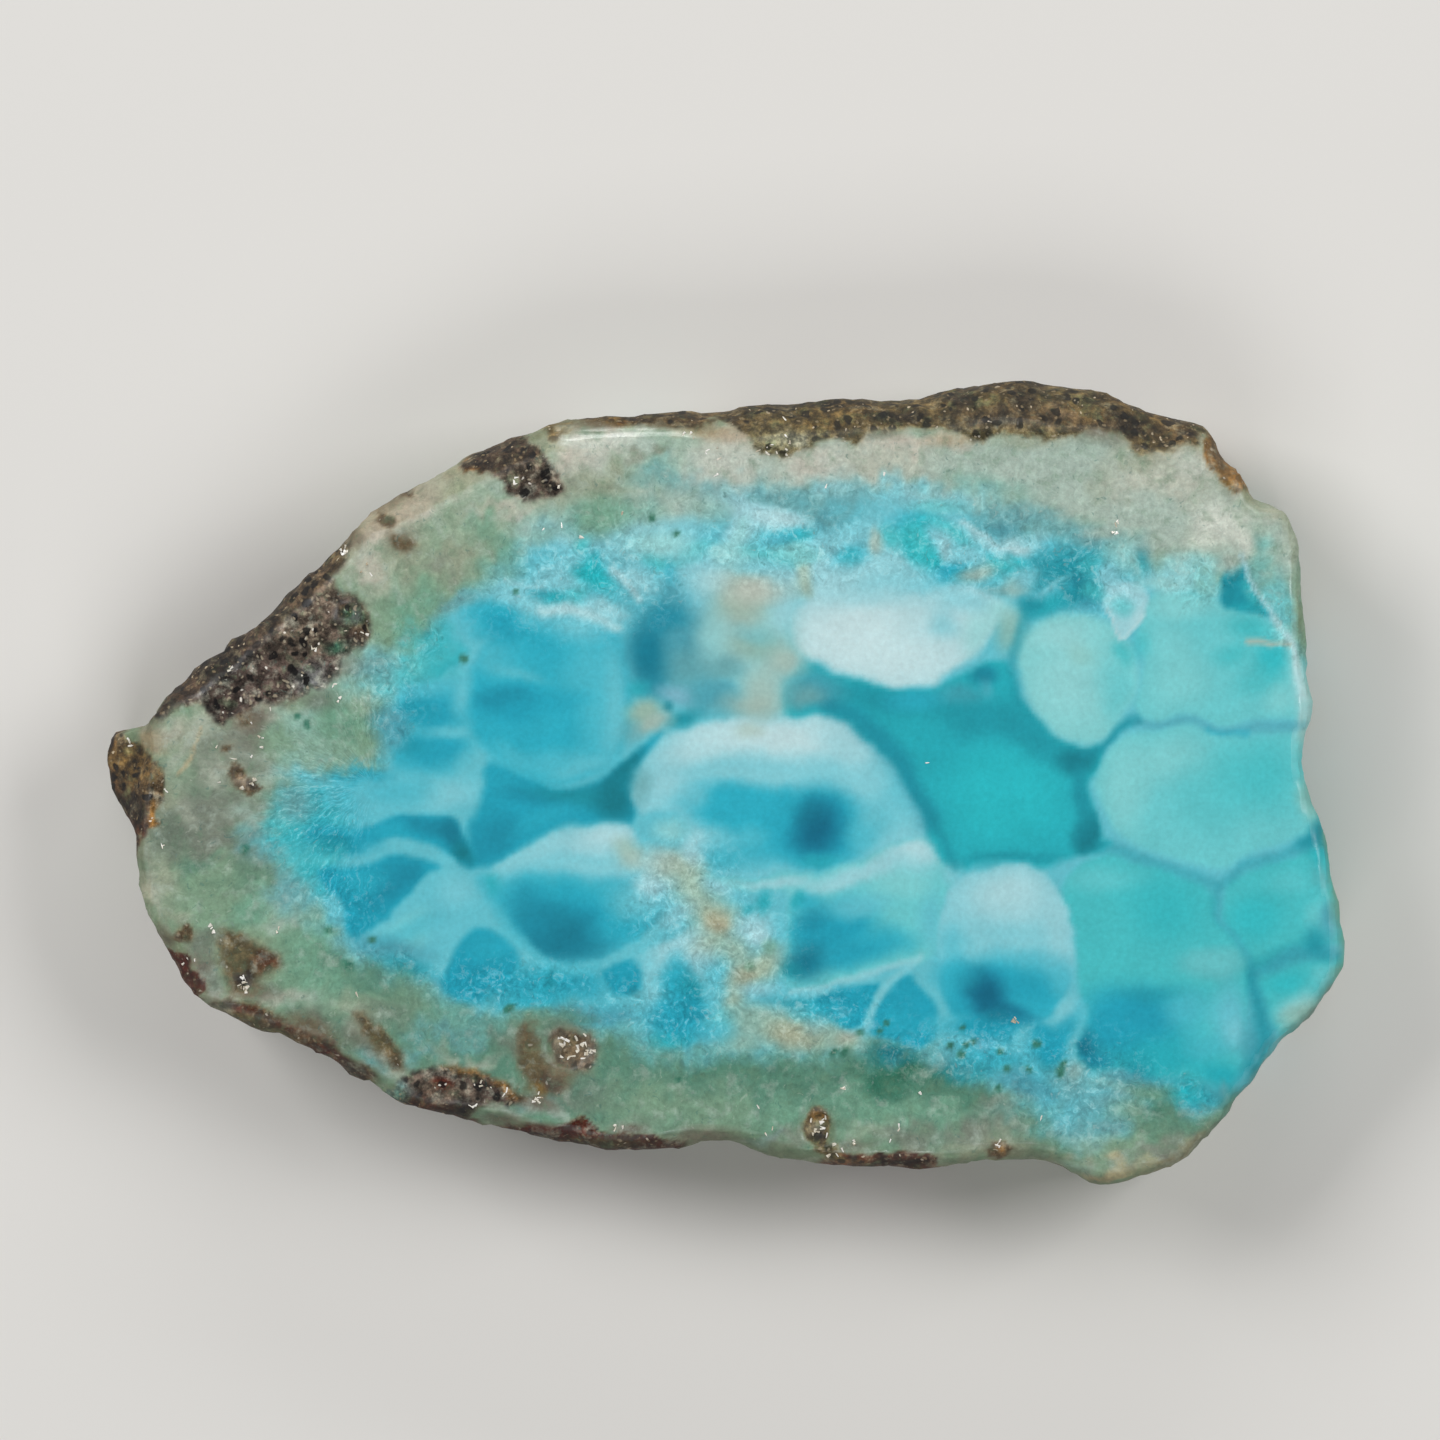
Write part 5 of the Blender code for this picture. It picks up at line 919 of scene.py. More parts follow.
# Clusters of crystal shards: place and spread in mm, count, size as a share of a typical shard
CRYSTALS = (
    (-18.35, 11.25, 0.25, 6, 0.9), (-24, 5.5, 0.15, 2, 0.8), (-19.9, 6.6, 0.15, 3, 0.7),
    (-17.5, 7.1, 0.15, 2, 0.8), (-18.2, 7.4, 0.15, 1, 0.6), (-18.6, 4.1, 0.15, 2, 0.6),
    (-18.9, 4.7, 0.15, 2, 0.6), (-28.8, 2, 0.2, 3, 0.8), (-27, -0.3, 0.1, 2, 0.7), (-27.2, -3, 0.1, 2, 0.7),
    (-22.9, 2.9, 0, 1, 0.6), (-22.6, 2.3, 0, 1, 0.6), (-22.4, 2.2, 0, 1, 0.5), (-22.5, 1.75, 0, 1, 0.6),
    (-22, 3.6, 0, 1, 0.6), (-24.6, 1.8, 0, 1, 0.6), (-23.8, 1.2, 0, 1, 0.6), (-22.9, 1.35, 0, 1, 0.5),
    (-24.5, 0.05, 0, 1, 0.6), (-23.2, 0, 0.4, 5, 0.8), (-17.4, 10.35, 0.4, 3, 0.6),
    (-10.1, 14.7, 0.2, 3, 0.8), (-8.1, 14.4, 0.15, 2, 0.6), (-6.85, 11.9, 0, 1, 0.9), (-5, 13, 0, 1, 0.7),
    (-8.8, 12.3, 0, 1, 0.6), (-7.9, 12.5, 0, 1, 0.6), (-0.45, 14.9, 0, 1, 0.8), (-0.5, 16.2, 0.5, 4, 0.5),
    (-1.6, 16.5, 0.5, 4, 0.5), (2.5, 16.7, 1, 8, 0.7), (4.9, 14.4, 0, 1, 0.6), (7.7, 14.9, 0, 1, 0.6),
    (19.1, 12.7, 0.2, 3, 0.7), (18.8, 12.15, 0.1, 2, 0.6), (-25, -7.15, 0.3, 3, 0.8),
    (-23.2, -9.6, 0.35, 8, 0.9), (-21.7, -7.1, 0.1, 2, 0.7), (-17.8, -10.3, 0, 1, 0.8),
    (-25.9, -8.7, 0.3, 3, 0.6), (-7.4, -12.8, 0.7, 12, 0.9), (-7.9, -12.5, 0.2, 5, 1),
    (-6.5, -13, 0.15, 4, 0.9), (-9.1, -15.2, 0.2, 5, 0.8), (-11.8, -14.6, 0.1, 2, 0.8),
    (-10.6, -14.95, 0.15, 3, 0.7), (-12.2, -15.4, 0.2, 3, 0.7), (-5.1, -16.5, 0.2, 3, 0.7),
    (4.5, -16.6, 0.5, 12, 0.9), (5.4, -17.7, 0.4, 4, 0.7), (5.7, -14.8, 0.1, 2, 0.8),
    (1.6, -15.65, 0, 1, 0.6), (2, -17, 0, 1, 0.6), (2.3, -16.7, 0, 1, 0.5), (8.5, -16.6, 0.2, 2, 0.6),
    (6.3, -17.4, 0.1, 2, 0.6), (8, -17.3, 0, 1, 0.6), (9.5, -15.05, 0, 1, 0.6), (15.3, -16.2, 0, 1, 0.7),
    (9.8, 1, 0, 1, 0.35), (13.3, -17.5, 0.2, 3, 0.7), (14.1, -11.5, 0.15, 3, 1),
)


def size_property(name, description, millimetres, least=0.0):
    return bpy.props.FloatProperty(
        name=name, description=description, default=millimetres * MM, min=least, unit="LENGTH", precision=5
    )


def share_property(name, description, default):
    return bpy.props.FloatProperty(
        name=name, description=description, default=default, min=0.0, max=1.0, subtype="FACTOR"
    )


def times_property(name, description, default):
    return bpy.props.FloatProperty(name=name, description=description, default=default, min=0.0)


def tint_property(name, description, code):
    return bpy.props.FloatVectorProperty(
        name=name, description=description, default=linear(code), min=0.0, max=1.0, subtype="COLOR"
    )


def count_property(name, description, default):
    return bpy.props.IntProperty(name=name, description=description, default=default, min=0)


class LarimarStoneSettings(bpy.types.PropertyGroup):
    """Sizes and finish of the polished stone."""

    mesh_step: size_property("Mesh step", "Distance between points of the sides and the back", 0.46)
    face_cuts: count_property("Face cuts", "Cuts of each step on the polished face", 2)
    back_shift: size_property("Back shift", "How far the cells lean between face and back", 2.2)
    grain_relief: size_property("Grain relief", "Depth of the rough host rock", 0.05)
    rim_relief: size_property("Rim relief", "How far the rough rim and sides stand in and out", 0.2)
    rim_stretch: times_property("Rim stretch", "Stretch of the visible stone, from front to back", 1.008)
    polish_ripple: size_property("Polish ripple", "Faint ripple left by polishing", 0.006)
    gloss: share_property("Polish roughness", "Roughness of the polished pectolite", 0.16)
    rock_gloss: share_property("Rock roughness", "Roughness of the host rock", 0.24)
    edge_gloss: share_property("Edge roughness", "Roughness of the sawn sides and their rounded edge", 0.9)
    glow: share_property("Glow", "Share of light that passes under the skin of the stone", 0.12)
    glow_reach: size_property("Glow reach", "How far that light spreads", 0.5)


class LarimarCrystalSettings(bpy.types.PropertyGroup):
    """Small crystals in the pits."""

    shard_length: size_property("Shard length", "Length of a typical crystal shard", 0.46)
    shard_width: share_property("Shard width", "Width of a shard as a share of its length", 0.5)
    proud: size_property("Proud", "How far a shard stands out of the face", 0.03)
    seed: count_property("Seed", "Choice of the scatter of the shards", 7)


class LarimarStageSettings(bpy.types.PropertyGroup):
    """Floor, lights and camera."""

    floor_size: size_property("Floor size", "Side of the floor", 3000.0)
    floor_tint: tint_property("Floor tint", "Colour of the plain floor", "dcdad6")
    light_power: times_property("Light power", "Power of the soft boxes, against the listed one", 1.0)
    camera_height: size_property("Camera height", "Height of the camera above the face", 700.0)
    view_width: size_property("View width", "Width of the picture at the face", 69.7)
    view_x: size_property("View across", "Middle of the picture, across", -0.24, -1.0)
    view_y: size_property("View up", "Middle of the picture, upwards", 3.07, -1.0)


def tint_settings():
    """One colour property for each tint of the stone."""
    notes = {"__doc__": "Colours of the stone."}
    notes["__annotations__"] = {
        name: tint_property(name.capitalize(), note.capitalize(), code)
        for name, (code, note) in TINTS.items()
    }
    return type("LarimarTints", (bpy.types.PropertyGroup,), notes)


LarimarTints = tint_settings()


# Tints are mixed on a scale that is even to the eye, this power away from linear colour
EYE_POWER = 2.2


def even_tint(name):
    return np.array(getattr(bpy.context.scene.larimar_tints, name)) ** (1 / EYE_POWER)


# How the markings stray from their drawn lines: reach in mm, size in mm, and the seeds across and up
DEEP_WANDER = ((0.5, 3.1, 41, 42),)
DRAWN_WANDER = ((0.22, 1.6, 1, 3), (0.09, 0.6, 2, 4), (0.05, 0.3, 11, 12))
COMBED_WANDER = ((0.4, 0.9, 13, 15), (0.25, 0.4, 14, 16))
ROCK_WANDER = ((0.16, 0.5, 5, 7), (0.1, 0.25, 6, 8))
COMB_PATTERN = (0.42, 9)

# How far below the face the markings stay true, the way they lean below it, and soft edges, in mm
CLEAR_DEPTH = 1.0
LEAN_WAY = (0.8, -0.6)
INTERIOR_EDGE = 2.4
STAIN_WIDTH = 0.9
STAIN_STRENGTH = 0.45
HOLE_STRENGTH = 0.85

# How many straight steps a smooth line takes from one drawn point to the next
OUTLINE_STEPS = 4
VEIN_STEPS = 3

# Large odd numbers that scatter the places of a lattice
SCATTER = (374761393, 668265263, 2147483647, 1274126177)


def lattice(ix, iy, iz, seed):
    """A repeatable number from -1 to 1 for each whole-number place."""
    mixed = sum(number * factor for number, factor in zip((ix, iy, iz, seed), SCATTER)).astype(np.uint64)
    mixed = (mixed ^ (mixed >> np.uint64(13))) * np.uint64(SCATTER[3])
    mixed = mixed ^ (mixed >> np.uint64(16))
    return (mixed & np.uint64(0xFFFF)).astype(float) / 32767.5 - 1.0


def ease(t):
    t = np.clip(t, 0.0, 1.0)
    return t * t * (3 - 2 * t)


def mottle(place, size, seed):
    """Smooth unevenness from -1 to 1, in blotches of this size in mm."""
    scaled = [axis / size + 1000.0 for axis in place]
    floors = [np.floor(axis).astype(np.int64) for axis in scaled]
    parts = [ease(axis - low) for axis, low in zip(scaled, floors)]
    total = 0.0
    for corner in np.ndindex(2, 2, 2):
        weight = 1.0
        for near, part in zip(corner, parts):
            weight = weight * (part if near else 1 - part)
        total = total + weight * lattice(*(low + near for low, near in zip(floors, corner)), seed)
    return total


def wander(place, waves):
    """How far the markings stray from their drawn lines, first across and then up, in mm."""
    for axis in (0, 1):
        yield sum(reach * mottle(place, size, seeds[axis]) for reach, size, *seeds in waves)


def smooth_line(points, closed, steps):
    """Points along a smooth line through the given ones."""
    p = np.array(points, float).reshape(-1, 2)
    count = len(p)
    line = []
    for i in range(count if closed else count - 1):
        last = count - 1
        if closed:
            places = (i - 1, i, (i + 1) % count, (i + 2) % count)
        else:
            places = (max(i - 1, 0), i, i + 1, min(i + 2, last))
        a, b, c, d = p[list(places)]
        for t in np.arange(steps) / steps:
            bend, twist = 2 * a - 5 * b + 4 * c - d, 3 * b - a - 3 * c + d
            line.append((2 * b + (c - a) * t + bend * t**2 + twist * t**3) / 2)
    if not closed:
        line.append(p[-1])
    return np.array(line)


class Painting:
    """Points of the stone, in mm, with the colour and the share of host rock painted on each."""

    def __init__(self, x, y, ground):
        self.x = x
        self.y = y
        self.colour = np.tile(even_tint(ground), (len(x), 1))
        self.rock = np.zeros(len(x))
        self.frame = None

    def near(self, low, high):
        inside = (self.x > low[0]) & (self.x < high[0]) & (self.y > low[1]) & (self.y < high[1])
        return np.nonzero(inside)[0]

    def mix(self, where, amount, name):
        if self.frame is not None:
            amount = amount * self.frame[where]
        self.colour[where] += (even_tint(name) - self.colour[where]) * amount[:, None]

    def spot(self, x, y, length, width, turn=0, soft=0.8):
        """Points of a soft spot: middle, half length, half width, turn in degrees, softness of its edge."""
        reach = max(length, width) * (1 + soft)
        where = self.near((x - reach, y - reach), (x + reach, y + reach))
        c, s = math.cos(math.radians(turn)), math.sin(math.radians(turn))
        dx, dy = self.x[where] - x, self.y[where] - y
        radius = np.hypot((dx * c + dy * s) / length, (dy * c - dx * s) / width)
        return where, ease((1 + soft - radius) / (2 * soft))

    def shade(self, name, x, y, length, width, amount=1, turn=0, soft=0.8):
        where, inside = self.spot(x, y, length, width, turn, soft)
        self.mix(where, inside * amount, name)

    def cover(self, spots):
        """The share of each point that these spots cover."""
        covered = np.zeros(len(self.x))
        for x, y, length, width, amount, turn in spots:
            where, inside = self.spot(x, y, length, width, turn)
            covered[where] = np.maximum(covered[where], inside * amount)
        return covered

    def distance(self, where, line, closed):
        """Distance to a line, negative inside a closed one, and the share of its length passed there."""
        x, y = self.x[where], self.y[where]
        best = np.full(len(where), np.inf)
        passed = np.zeros(len(where))
        inside = np.zeros(len(where), bool)
        ends = np.roll(line, -1, axis=0) if closed else line[1:]
        starts = line[:len(ends)]
        for i, (a, b) in enumerate(zip(starts, ends)):
            run = b - a
            t = np.clip(((x - a[0]) * run[0] + (y - a[1]) * run[1]) / max(run @ run, 1e-12), 0, 1)
            away = np.hypot(x - a[0] - t * run[0], y - a[1] - t * run[1])
            passed = np.where(away < best, (i + t) / len(starts), passed)
            best = np.minimum(best, away)
            if closed and run[1]:
                inside ^= ((a[1] > y) != (b[1] > y)) & (x < a[0] + (y - a[1]) * run[0] / run[1])
        return np.where(inside, -best, best), passed

    def area(self, outline, edge):
        line = smooth_line(outline, True, OUTLINE_STEPS)
        where = self.near(line.min(0) - edge, line.max(0) + edge)
        away, _ = self.distance(where, line, True)
        return where, ease(0.5 - away / edge)

    def cell(self, name, edge, outline, shades=(), grain=0.0, amount=1.0):
        """A closed patch with a soft edge, and shades that stay inside it."""
        where, inside = self.area(outline, edge)
        self.mix(where, inside * amount, name)
        self.rock[where] = np.maximum(self.rock[where], inside * grain)
        self.frame = np.zeros(len(self.x))
        self.frame[where] = inside
        for spot in shades:
            self.shade(*spot)
        self.frame = None

    def vein(self, name, width, points, amount=1.0, end_width=None):
        """A line with soft sides, which may widen or narrow towards its end."""
        end_width = width if end_width is None else end_width
        line = smooth_line(points, False, VEIN_STEPS)
        reach = max(width, end_width)
        where = self.near(line.min(0) - reach, line.max(0) + reach)
        away, passed = self.distance(where, line, False)
        self.mix(where, ease(1 - away / (width + (end_width - width) * passed)) * amount, name)


def fibre_run(x, y):
    """How far round the border each point lies, in mm, and the way its fibres point from the spine."""
    spine = np.clip(x, *SPINE_ENDS)
    across, up = x - spine, y - SPINE_HEIGHT
    length = np.hypot(across, up)
    around = spine + FIBRE_RADIUS * (math.pi / 2 - np.arctan2(up, across))
    return around, length, across / np.maximum(length, 0.1), up / np.maximum(length, 0.1)


def paint(place):
    """Colour of each point of the stone, with its shares of host rock, border and wisps, and its fibre."""
    x, y, z = place
    # Below the face the markings lean to one side, and wander more the deeper they go
    lean = (FACE_HEIGHT - z) / FACE_HEIGHT * bpy.context.scene.larimar_stone.back_shift / MM
    depth = np.maximum(FACE_HEIGHT - CLEAR_DEPTH - z, 0.0)
    aside_x, aside_y = wander(place, DEEP_WANDER)
    x = x + LEAN_WAY[0] * lean + depth * aside_x
    y = y + LEAN_WAY[1] * lean + depth * aside_y
    place = (x, y, z)

    around, length, across, up = fibre_run(x, y)
    comb = COMB_DEPTH * mottle((around, length * 0.3, z), *COMB_PATTERN)
    near_x, near_y = (line + aside for line, aside in zip((x, y), wander(place, DRAWN_WANDER)))
    combed_x, combed_y = wander(place, COMBED_WANDER)
    painting = Painting(near_x + comb * across + combed_x, near_y + comb * up + combed_y, "sage")
    for spot in BORDER:
        painting.shade(*spot)
    border = np.ones(len(x))
    where, inside = painting.area(INTERIOR, INTERIOR_EDGE)
    painting.mix(where, inside, "haze")
    border[where] -= inside
    for spot in WEB:
        painting.shade(*spot)
    painting.x, painting.y = near_x, near_y
    for cell in CELLS:
        painting.cell(*cell)
    for spot in DETAILS:
        painting.shade(*spot)
    for vein in VEINS:
        painting.vein(*vein)
    # Dark dots: painted shade of the pinholes, and the own colour of single dark grains
    for across_hole, up_hole, radius in PINHOLES:
        painting.shade("pine", across_hole, up_hole, radius, radius, HOLE_STRENGTH, soft=0.5)
    wisps = painting.cover(WISPS)
    painting.x, painting.y = (line + aside for line, aside in zip((x, y), wander(place, ROCK_WANDER)))
    for ground, edge, grain, outline, *shades in ROCK:
        painting.cell("tan", edge + STAIN_WIDTH, outline, amount=STAIN_STRENGTH)
        painting.cell(ground, edge, outline, *shades, grain=grain)
    return painting.colour ** EYE_POWER, painting.rock, border, wisps, around, length


# Sizes of the stone's patterns, in mm. Real felt and needles are finer, and are drawn coarse enough to show
FELT = 0.26
CLOUD = 1.5
PATCH = 0.9
STREAK = 0.24
DAPPLE = 0.5
WISP = 0.5
NEEDLE = 0.34
MUSH = 0.6
BLACK_GRAIN = 0.55
PALE_GRAIN = 0.24
PAINTED_GLINT = 0.2
STIR = 0.9
FIBRE_STIR_REACH = 2.4
GRAIN_STIR_REACH = 0.8
CRYSTAL_PATCH = 0.6

# Lightness of the host rock's mush against its ground tint, from its darkest to its lightest spots
MUSH_BRIGHTNESS = ((0.3, 0.08), (0.43, 0.34), (0.53, 0.9), (0.64, 1.85), (0.8, 3.0))
ROCK_WARMTH = (1.14, 0.98, 0.9, 1.0)
# Darkening of the rim: partly a real rind, partly painted shade on the bevel
RIM_SKIN_AND_SHADE = (0.66, 0.57, 0.43, 1.0)
PECTOLITE_IOR = 1.6
CALCITE_IOR = 1.55
GLOW_BY_CHANNEL = (0.7, 1.0, 1.1)
SEAM_STRENGTH = 3.6


def add(tree, kind, inputs=(), output=0, stops=(), **settings):
    """Add a node with its settings, fill its inputs with values or links, and give one of its outputs."""
    new = tree.nodes.new("ShaderNode" + kind)
    for name, value in settings.items():
        setattr(new, name, value)
    for socket, value in inputs.items() if isinstance(inputs, dict) else enumerate(inputs):
        if isinstance(value, bpy.types.NodeSocket):
            tree.links.new(value, new.inputs[socket])
        else:
            new.inputs[socket].default_value = value
    for number, (position, colour) in enumerate(stops):
        ramp = new.color_ramp.elements
        element = ramp[number] if number < len(ramp) else ramp.new(1.0)
        element.position = position
        element.color = (*colour, 1.0)
    return new.outputs[output] if len(new.outputs) else None


def blank_material(name):
    material = bpy.data.materials.new(name)
    material.use_nodes = True
    material.node_tree.nodes.clear()
    return material, material.node_tree


def finish(tree, surface):
    """Close a material with a surface of these settings."""
    add(tree, "OutputMaterial", {"Surface": add(tree, "BsdfPrincipled", surface)})


def lay(tree, colour, top, *shares, way="MIX"):
    """Lay a tint or a brightness over a colour, as much as the product of the shares says."""
    amount, *others = shares
    for share in others:
        amount = add(tree, "Math", (amount, share), operation="MULTIPLY")
    if isinstance(top, str):
        top = (*linear(top), 1.0)
    return add(tree, "Mix", {0: amount, 6: colour, 7: top}, output=2, data_type="RGBA", blend_type=way)


def blotches(tree, where, size, limits, detail=4.0, roughness=0.7):
    """A share that is uneven in blotches of a size in mm: the noise it runs between, then its ends."""
    settings = {"Vector": where, "Scale": 1 / (size * MM), "Detail": detail, "Roughness": roughness}
    return add(tree, "MapRange", (add(tree, "TexNoise", settings), *limits))


def grains(tree, where, size, core, rim, channel, chance):
    """Single grains of a size in mm, full at the core and gone at the rim, for lots past the chance."""
    cell = add(tree, "TexVoronoi", {"Vector": where, "Scale": 1 / (size * MM)}, "Distance")
    lot = add(tree, "SeparateColor", (cell.node.outputs["Color"],), channel)
    inside = add(tree, "MapRange", (cell, rim, core))
    return add(tree, "Math", (inside, add(tree, "MapRange", (lot, *chance))), operation="MULTIPLY")


def pectolite(tree, colour, place, swirl, border, wisps):
    """Blue pectolite and its border: felted fibres, greenish patches and a feathered, milky fringe."""
    felt = blotches(tree, place, FELT, (0.25, 0.75, 0.91, 1.09))
    cloud = blotches(tree, place, CLOUD, (0.25, 0.75, 0.93, 1.07), roughness=0.6)
    colour = lay(tree, colour, add(tree, "Math", (felt, cloud), operation="MULTIPLY"), 1.0, way="MULTIPLY")

    # Patches a millimetre across lean to green or to white, and streaks run along the fibres
    greener = blotches(tree, place, PATCH, (0.53, 0.7), roughness=0.65)
    colour = lay(tree, colour, "6a8a70", greener, border, 0.45)
    whiter = blotches(tree, place, PATCH, (0.47, 0.3), roughness=0.65)
    colour = lay(tree, colour, "b0c0b4", whiter, border, 0.4)
    not_border = add(tree, "Math", (1.0, border), operation="SUBTRACT")
    seam = add(tree, "Math", (border, not_border), operation="MULTIPLY")
    seam = add(tree, "Math", (seam, SEAM_STRENGTH), operation="MULTIPLY")
    fringe = add(tree, "Math", (seam, wisps), operation="MAXIMUM")
    felted = add(tree, "Math", (border, fringe), operation="MAXIMUM")
    along = add(tree, "VectorMath", (swirl, (1.0, 0.4, 1.0)), operation="MULTIPLY")
    streaks = blotches(tree, along, STREAK, (0.25, 0.75, 0.84, 1.16), 3.0, 0.6)
    dapple = blotches(tree, place, DAPPLE, (0.25, 0.75, 0.8, 1.2))
    uneven = add(tree, "Math", (streaks, dapple), operation="MULTIPLY")
    colour = lay(tree, colour, lay(tree, colour, uneven, 1.0, way="MULTIPLY"), felted)

    # Milky wisps and darker gaps half a millimetre wide
    along = add(tree, "VectorMath", (swirl, (1.0, 0.8, 1.0)), operation="MULTIPLY")
    feather = blotches(tree, along, WISP, (0.3, 0.7, 0.62, 1.3), roughness=0.65)
    colour = lay(tree, colour, lay(tree, colour, feather, 1.0, way="MULTIPLY"), fringe, 0.8)
    faint = add(tree, "Math", (fringe, 0.4), operation="MULTIPLY")
    milky = add(tree, "Math", (faint, wisps), operation="MAXIMUM")
    wisp = blotches(tree, along, WISP, (0.54, 0.7), roughness=0.65)
    colour = lay(tree, colour, "cfe2dc", wisp, milky, 0.25)

    # Single needles along the fibres, some whiter and some darker than what they lie in
    along = add(tree, "VectorMath", (swirl, (1.0, 0.5, 1.0)), operation="MULTIPLY")
    white = grains(tree, along, NEEDLE, 0.12, 0.3, "Red", (0.8, 0.9))
    colour = lay(tree, colour, "dfe3d6", white, felted, 0.18)
    dark = grains(tree, along, NEEDLE, 0.12, 0.3, "Green", (0.66, 0.76))
    return lay(tree, colour, "366a66", dark, felted, 0.4)


def host_rock(tree, colour, place, wobble):
    """Basalt: purple-grey mush with black grains, pale grains and tiny bright crystal faces."""
    settings = {"Vector": place, "Scale": 1 / (MUSH * MM), "Detail": 5.0, "Roughness": 0.7}
    mush = add(tree, "TexNoise", settings)
    stops = [(at, (bright,) * 3) for at, bright in MUSH_BRIGHTNESS]
    colour = lay(tree, colour, add(tree, "ValToRGB", (mush,), "Color", stops), 1.0, way="MULTIPLY")
    colour = lay(tree, colour, ROCK_WARMTH, 1.0, way="MULTIPLY")
    for tint, size, core, rim, channel, chance, strength in (
        ("0c0b0c", BLACK_GRAIN, 0.34, 0.5, "Red", (0.48, 0.54), 0.92),
        ("b3a78f", PALE_GRAIN, 0.24, 0.4, "Green", (0.76, 0.82), 0.6),
        # The brightest grains are painted glints on tiny crystal faces
        ("efe9dc", PAINTED_GLINT, 0.24, 0.4, "Blue", (0.95, 0.98), 0.9),
    ):
        colour = lay(tree, colour, tint, grains(tree, wobble, size, core, rim, channel, chance), strength)
    return colour, mush


def polished_larimar():
    """Larimar, a blue pectolite, sawn and polished with its basalt host rock.

    The eye sees a glassy, slightly milky skin over felted fibres, and a duller, grainy rock at the rim.
    """
    stone = bpy.context.scene.larimar_stone
    material, tree = blank_material("polished_larimar")
    place = add(tree, "TexCoord", output="Object")
    painted = add(tree, "Attribute", output="Color", attribute_name="stone_colour")
    fibre = add(tree, "Attribute", output="Vector", attribute_name="fibre")
    rock, border, wisps, edge = (
        add(tree, "Attribute", output="Fac", attribute_name=name)
        for name in ("host_rock", "border_zone", "wisps", "sawn_edge")
    )
    stir = add(tree, "TexNoise", {"Vector": place, "Scale": 1 / (STIR * MM), "Detail": 3.0}, "Color")
    swirl, wobble = (
        add(tree, "VectorMath", (stir, (reach * MM,) * 3, moved), operation="MULTIPLY_ADD")
        for reach, moved in ((FIBRE_STIR_REACH, fibre), (GRAIN_STIR_REACH, place))
    )
    colour = pectolite(tree, painted, place, swirl, border, wisps)
    rough, mush = host_rock(tree, colour, place, wobble)
    colour = lay(tree, colour, rough, rock)

    # The rounded edge and the sides carry a thin dull skin, dark on the host rock and faint on the blue:
    # partly a real rind, partly painted shade on the bevel
    skin = add(tree, "Math", (border, 0.45), operation="MULTIPLY")
    skin = add(tree, "Math", (skin, rock), operation="MAXIMUM")
    skin = add(tree, "MapRange", (skin, 0.0, 1.0, 0.25, 1.0))
    colour = lay(tree, colour, lay(tree, colour, RIM_SKIN_AND_SHADE, 1.0, way="MULTIPLY"), edge, skin)

    # The polish is uneven where the felt is, and dull on the rock and the sawn edge
    gloss = add(tree, "Mix", {0: rock, 2: stone.gloss, 3: stone.rock_gloss})
    gloss = add(tree, "Mix", {0: edge, 2: gloss, 3: stone.edge_gloss})
    uneven = blotches(tree, place, FELT, (0.25, 0.75, 0.85, 1.15))
    gloss = add(tree, "Math", (gloss, uneven), operation="MULTIPLY")
    settings = {"Vector": place, "Scale": 1 / (CLOUD * MM), "Detail": 4.0, "Roughness": 0.6}
    ripple = add(tree, "Math", (add(tree, "TexNoise", settings), stone.polish_ripple), operation="MULTIPLY")
    pitted = add(tree, "Math", (mush, stone.grain_relief), operation="MULTIPLY")
    relief = add(tree, "Mix", {0: rock, 2: ripple, 3: pitted})
    finish(tree, {
        "Base Color": colour, "Roughness": gloss, "IOR": PECTOLITE_IOR,
        "Normal": add(tree, "Bump", {"Height": relief, "Distance": 1.0, "Strength": 0.8}),
        "Subsurface Weight": stone.glow, "Subsurface Radius": GLOW_BY_CHANNEL,
        "Subsurface Scale": stone.glow_reach,
    })
    return material


def crystal():
    """Clear to milky zeolite and calcite shards in the pits: bright, glassy and sharp edged."""
    material, tree = blank_material("pit_crystal")
    place = add(tree, "TexCoord", output="Object")
    patch = add(tree, "TexNoise", {"Vector": place, "Scale": 1 / (CRYSTAL_PATCH * MM), "Detail": 3.0})
    stops = [(at, linear(tint)) for at, tint in ((0.3, "a8987c"), (0.45, "dcd6c6"), (0.6, "f6f4ee"))]
    colour = add(tree, "ValToRGB", (patch,), "Color", stops)
    finish(tree, {"Base Color": colour, "Roughness": 0.08, "IOR": CALCITE_IOR})
    return material


# How deep below the face the mesh is fine, and how high above the back it keeps its level, in mm
FINE_DEPTH = 3.0
BACK_ZONE = 0.3

# The polish ends where the face turns from level, but rolls over one shoulder: its middle, half length
# and half width in mm, and the softness of its edge
LEVEL = 0.998
EDGE_FADE = 0.05
POLISHED_SHOULDER = (-4.8, 16.7, 3.6, 0.6, 0.2)

# Bumps of the rough rim: share of the relief, size in mm, seed; and the host rock's share of them
RIM_BUMPS = ((0.55, 0.95, 31), (0.45, 0.45, 32))
ROCK_ROUGHNESS = 0.35

# Soft boxes: name, place and size in mm, power in watts; and the faint light from all round
LIGHTS = (
    ("left_softbox", (-420, 260, 420), (300, 300), 2.32),
    ("right_softbox", (440, 160, 420), (300, 300), 1.84),
    ("front_softbox", (0, -480, 420), (400, 240), 1.2),
    ("top_strip", (20, 460, 200), (360, 90), 0.6),
)
STUDIO_AIR = 0.1


def select_only(piece):
    bpy.ops.object.select_all(action="DESELECT")
    piece.select_set(True)
    bpy.context.view_layer.objects.active = piece


